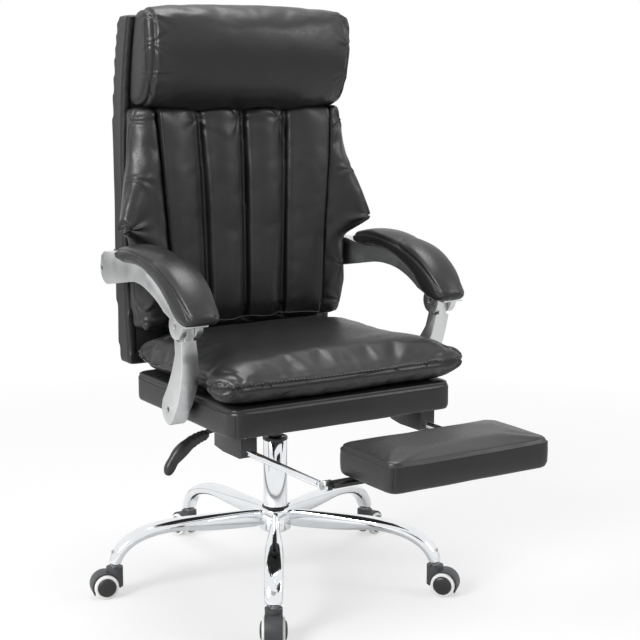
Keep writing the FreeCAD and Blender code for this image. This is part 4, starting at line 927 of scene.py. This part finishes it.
# lever: a moulded handle with a ribbed root and two lobes
lever = {
    "squareness": 2.5, "deeper": 1.15,
    "rows": (  # millimetres: x, z of the middle, slope in degrees, half width, half depth
        (-155, 332, 8, 5, 5), (-164, 331, 10, 9, 8.5), (-168, 330, 12, 10.5, 10.5), (-171, 329.3, 14, 9, 8.5),
        (-175, 328.2, 16, 10.8, 11), (-179, 327, 18, 9.2, 9), (-183, 325.6, 20, 11, 11.5),
        (-188, 323.6, 23, 9.6, 9.6), (-193, 321.4, 26, 11.3, 11.8), (-199, 318.2, 30, 10, 10.5),
        (-208, 312.5, 34, 11.5, 12.5), (-219, 304.5, 39, 12, 13), (-229, 295, 46, 11.5, 12),
        (-236, 287, 52, 9.5, 9.5), (-241, 280, 56, 10.5, 10.5), (-246, 271, 62, 10.8, 10),
        (-249, 263, 68, 8.5, 7.5), (-250.5, 258.5, 72, 4, 3.5)),
    "ribs": 7, "ribFrom": (-166, 330.6), "ribStep": (-5, -1.8), "ribLean": (-12, -2),
    "ribSize": (2 * mm, 24 * mm, 25 * mm, 1),
}


def leverHandle():
    bm = bmesh.new()
    stations = []
    for x, z, slope, halfWide, halfDeep in lever["rows"]:
        lean = math.radians(slope)
        stations.append((Vector((x * mm, 0, z * mm)), (-math.cos(lean), 0, -math.sin(lean)), (0, 1, 0),
                         halfWide * mm, halfDeep * lever["deeper"] * mm, lever["squareness"]))
    swept(bm, stations, 16)
    for number in range(lever["ribs"]):
        x, z, tilt = [start + number * step for start, step in (
            *zip(lever["ribFrom"], lever["ribStep"]), lever["ribLean"])]
        place = Matrix.Translation((x * mm, 0, z * mm)) @ Matrix.Rotation(math.radians(tilt), 4, "Y")
        bmesh.ops.create_cube(bm, size=1.0, matrix=place @ Matrix.Diagonal(lever["ribSize"]))
    piece = finished("leverHandle", bm, blackNylon, "lever")
    subdivided(piece, 2)
    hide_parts("lever_paddle")


leverHandle()
metalwork = (  # node, piece, radius of its edges, segments of the rounding
    ("lever_bar", "leverBar", 1.0 * mm, 2), ("seat_mechanism", "seatMechanism", 1.0 * mm, 2),
    ("rod_guides", "rodGuides", 2.5 * mm, 3), ("footrest_frame", "footrestFrame", 0.8 * mm, 2),
    ("back_hinges", "backHinges", 0.8 * mm, 2), ("seat_hinges", "seatHinges", 0.8 * mm, 2),
    ("arm_brackets", "armBrackets", 1.0 * mm, 2), ("footrest_rods", "footrestRods", 0.8 * mm, 2))
for row in metalwork:
    roundedCopy(*row)
print("metalwork done")


# studio: a pale floor, a white surround and three soft lamps
def studio():
    bm = bmesh.new()
    bmesh.ops.create_grid(bm, x_segments=1, y_segments=1, size=12.0)
    mesh = bpy.data.meshes.new("floor")
    bm.to_mesh(mesh)
    bm.free()
    floor = bpy.data.objects.new("floor", mesh)
    scene.collection.objects.link(floor)
    material, tree = emptyMaterial("paleFloor")
    path = addNode(tree, "ShaderNodeLightPath")
    matte = addNode(tree, "ShaderNodeBsdfDiffuse", {"Color": toLinear("#efefef")})
    bright = addNode(tree, "ShaderNodeEmission", {"Color": (1, 1, 1, 1), "Strength": 1.0})
    place = addNode(tree, "ShaderNodeTexCoord").outputs["Object"]
    away = addNode(tree, "ShaderNodeVectorMath", {0: place}, operation="LENGTH")
    fade = addNode(tree, "ShaderNodeMapRange", {"Value": away.outputs["Value"], "From Min": 0.5,
                                                "From Max": 2.2, "To Min": 0.6, "To Max": 1.0})
    seen = addNode(tree, "ShaderNodeMath", {0: path.outputs["Is Camera Ray"], 1: fade.outputs["Result"]},
                   operation="MULTIPLY")
    mixed = addNode(tree, "ShaderNodeMixShader", {0: seen.outputs[0], 1: matte.outputs[0],
                                                  2: bright.outputs[0]})
    addNode(tree, "ShaderNodeOutputMaterial", {"Surface": mixed.outputs[0]})
    mesh.materials.append(material)
    world = bpy.data.worlds.new("studio")
    scene.world = world
    world.use_nodes = True
    tree = world.node_tree
    tree.nodes.clear()
    path = addNode(tree, "ShaderNodeLightPath")
    seen = addNode(tree, "ShaderNodeMath", {0: path.outputs["Is Camera Ray"], 1: path.outputs["Is Glossy Ray"]},
                   operation="MAXIMUM")
    seen = addNode(tree, "ShaderNodeMath", {0: seen.outputs[0], 1: path.outputs["Is Transmission Ray"]},
                   operation="MAXIMUM")
    soft = addNode(tree, "ShaderNodeBackground", {"Color": (1, 1, 1, 1), "Strength": 0.24})
    white = addNode(tree, "ShaderNodeBackground", {"Color": (1, 1, 1, 1), "Strength": 1.0})
    mixed = addNode(tree, "ShaderNodeMixShader", {0: seen.outputs[0], 1: soft.outputs[0], 2: white.outputs[0]})
    addNode(tree, "ShaderNodeOutputWorld", {"Surface": mixed.outputs[0]})
    lamps = [  # name, place, what it looks at, size in metres, watts
        ("leftSoftbox", (-3.2, -0.9, 2.2), (0, 0, 0.7), 1.6, 120),
        ("rightSoftbox", (2.6, -2.6, 2.4), (0, 0, 0.7), 1.6, 38),
        ("topSoftbox", (0.2, 0.3, 3.6), (0, 0, 0.5), 2.0, 75)]
    for name, place, target, size, watts in lamps:
        light = bpy.data.lights.new(name, "AREA")
        light.shape = "DISK"
        light.size = size
        light.energy = watts
        lamp = bpy.data.objects.new(name, light)
        scene.collection.objects.link(lamp)
        lamp.location = place
        lamp.rotation_euler = (Vector(target) - Vector(place)).to_track_quat("-Z", "Y").to_euler()


# the photographer's camera: lens and sensor in millimetres, place in metres, angles in radians
shot = {"lens": 81.17, "sensor": 36.0, "place": (-1.476, -2.529, 1.052), "azimuth": 0.5603, "pitch": 0.1693}


def photographersCamera():
    camera = bpy.data.cameras.new("camera")
    camera.sensor_width = shot["sensor"]
    camera.lens = shot["lens"]
    camera.clip_end = 60
    eye = bpy.data.objects.new("camera", camera)
    scene.collection.objects.link(eye)
    azimuth, pitch = shot["azimuth"], shot["pitch"]
    look = Vector((math.sin(azimuth) * math.cos(pitch), math.cos(azimuth) * math.cos(pitch), -math.sin(pitch)))
    eye.location = shot["place"]
    eye.rotation_euler = look.to_track_quat("-Z", "Y").to_euler()
    scene.camera = eye


studio()
photographersCamera()
scene.view_settings.view_transform = "Standard"
print("studio done")
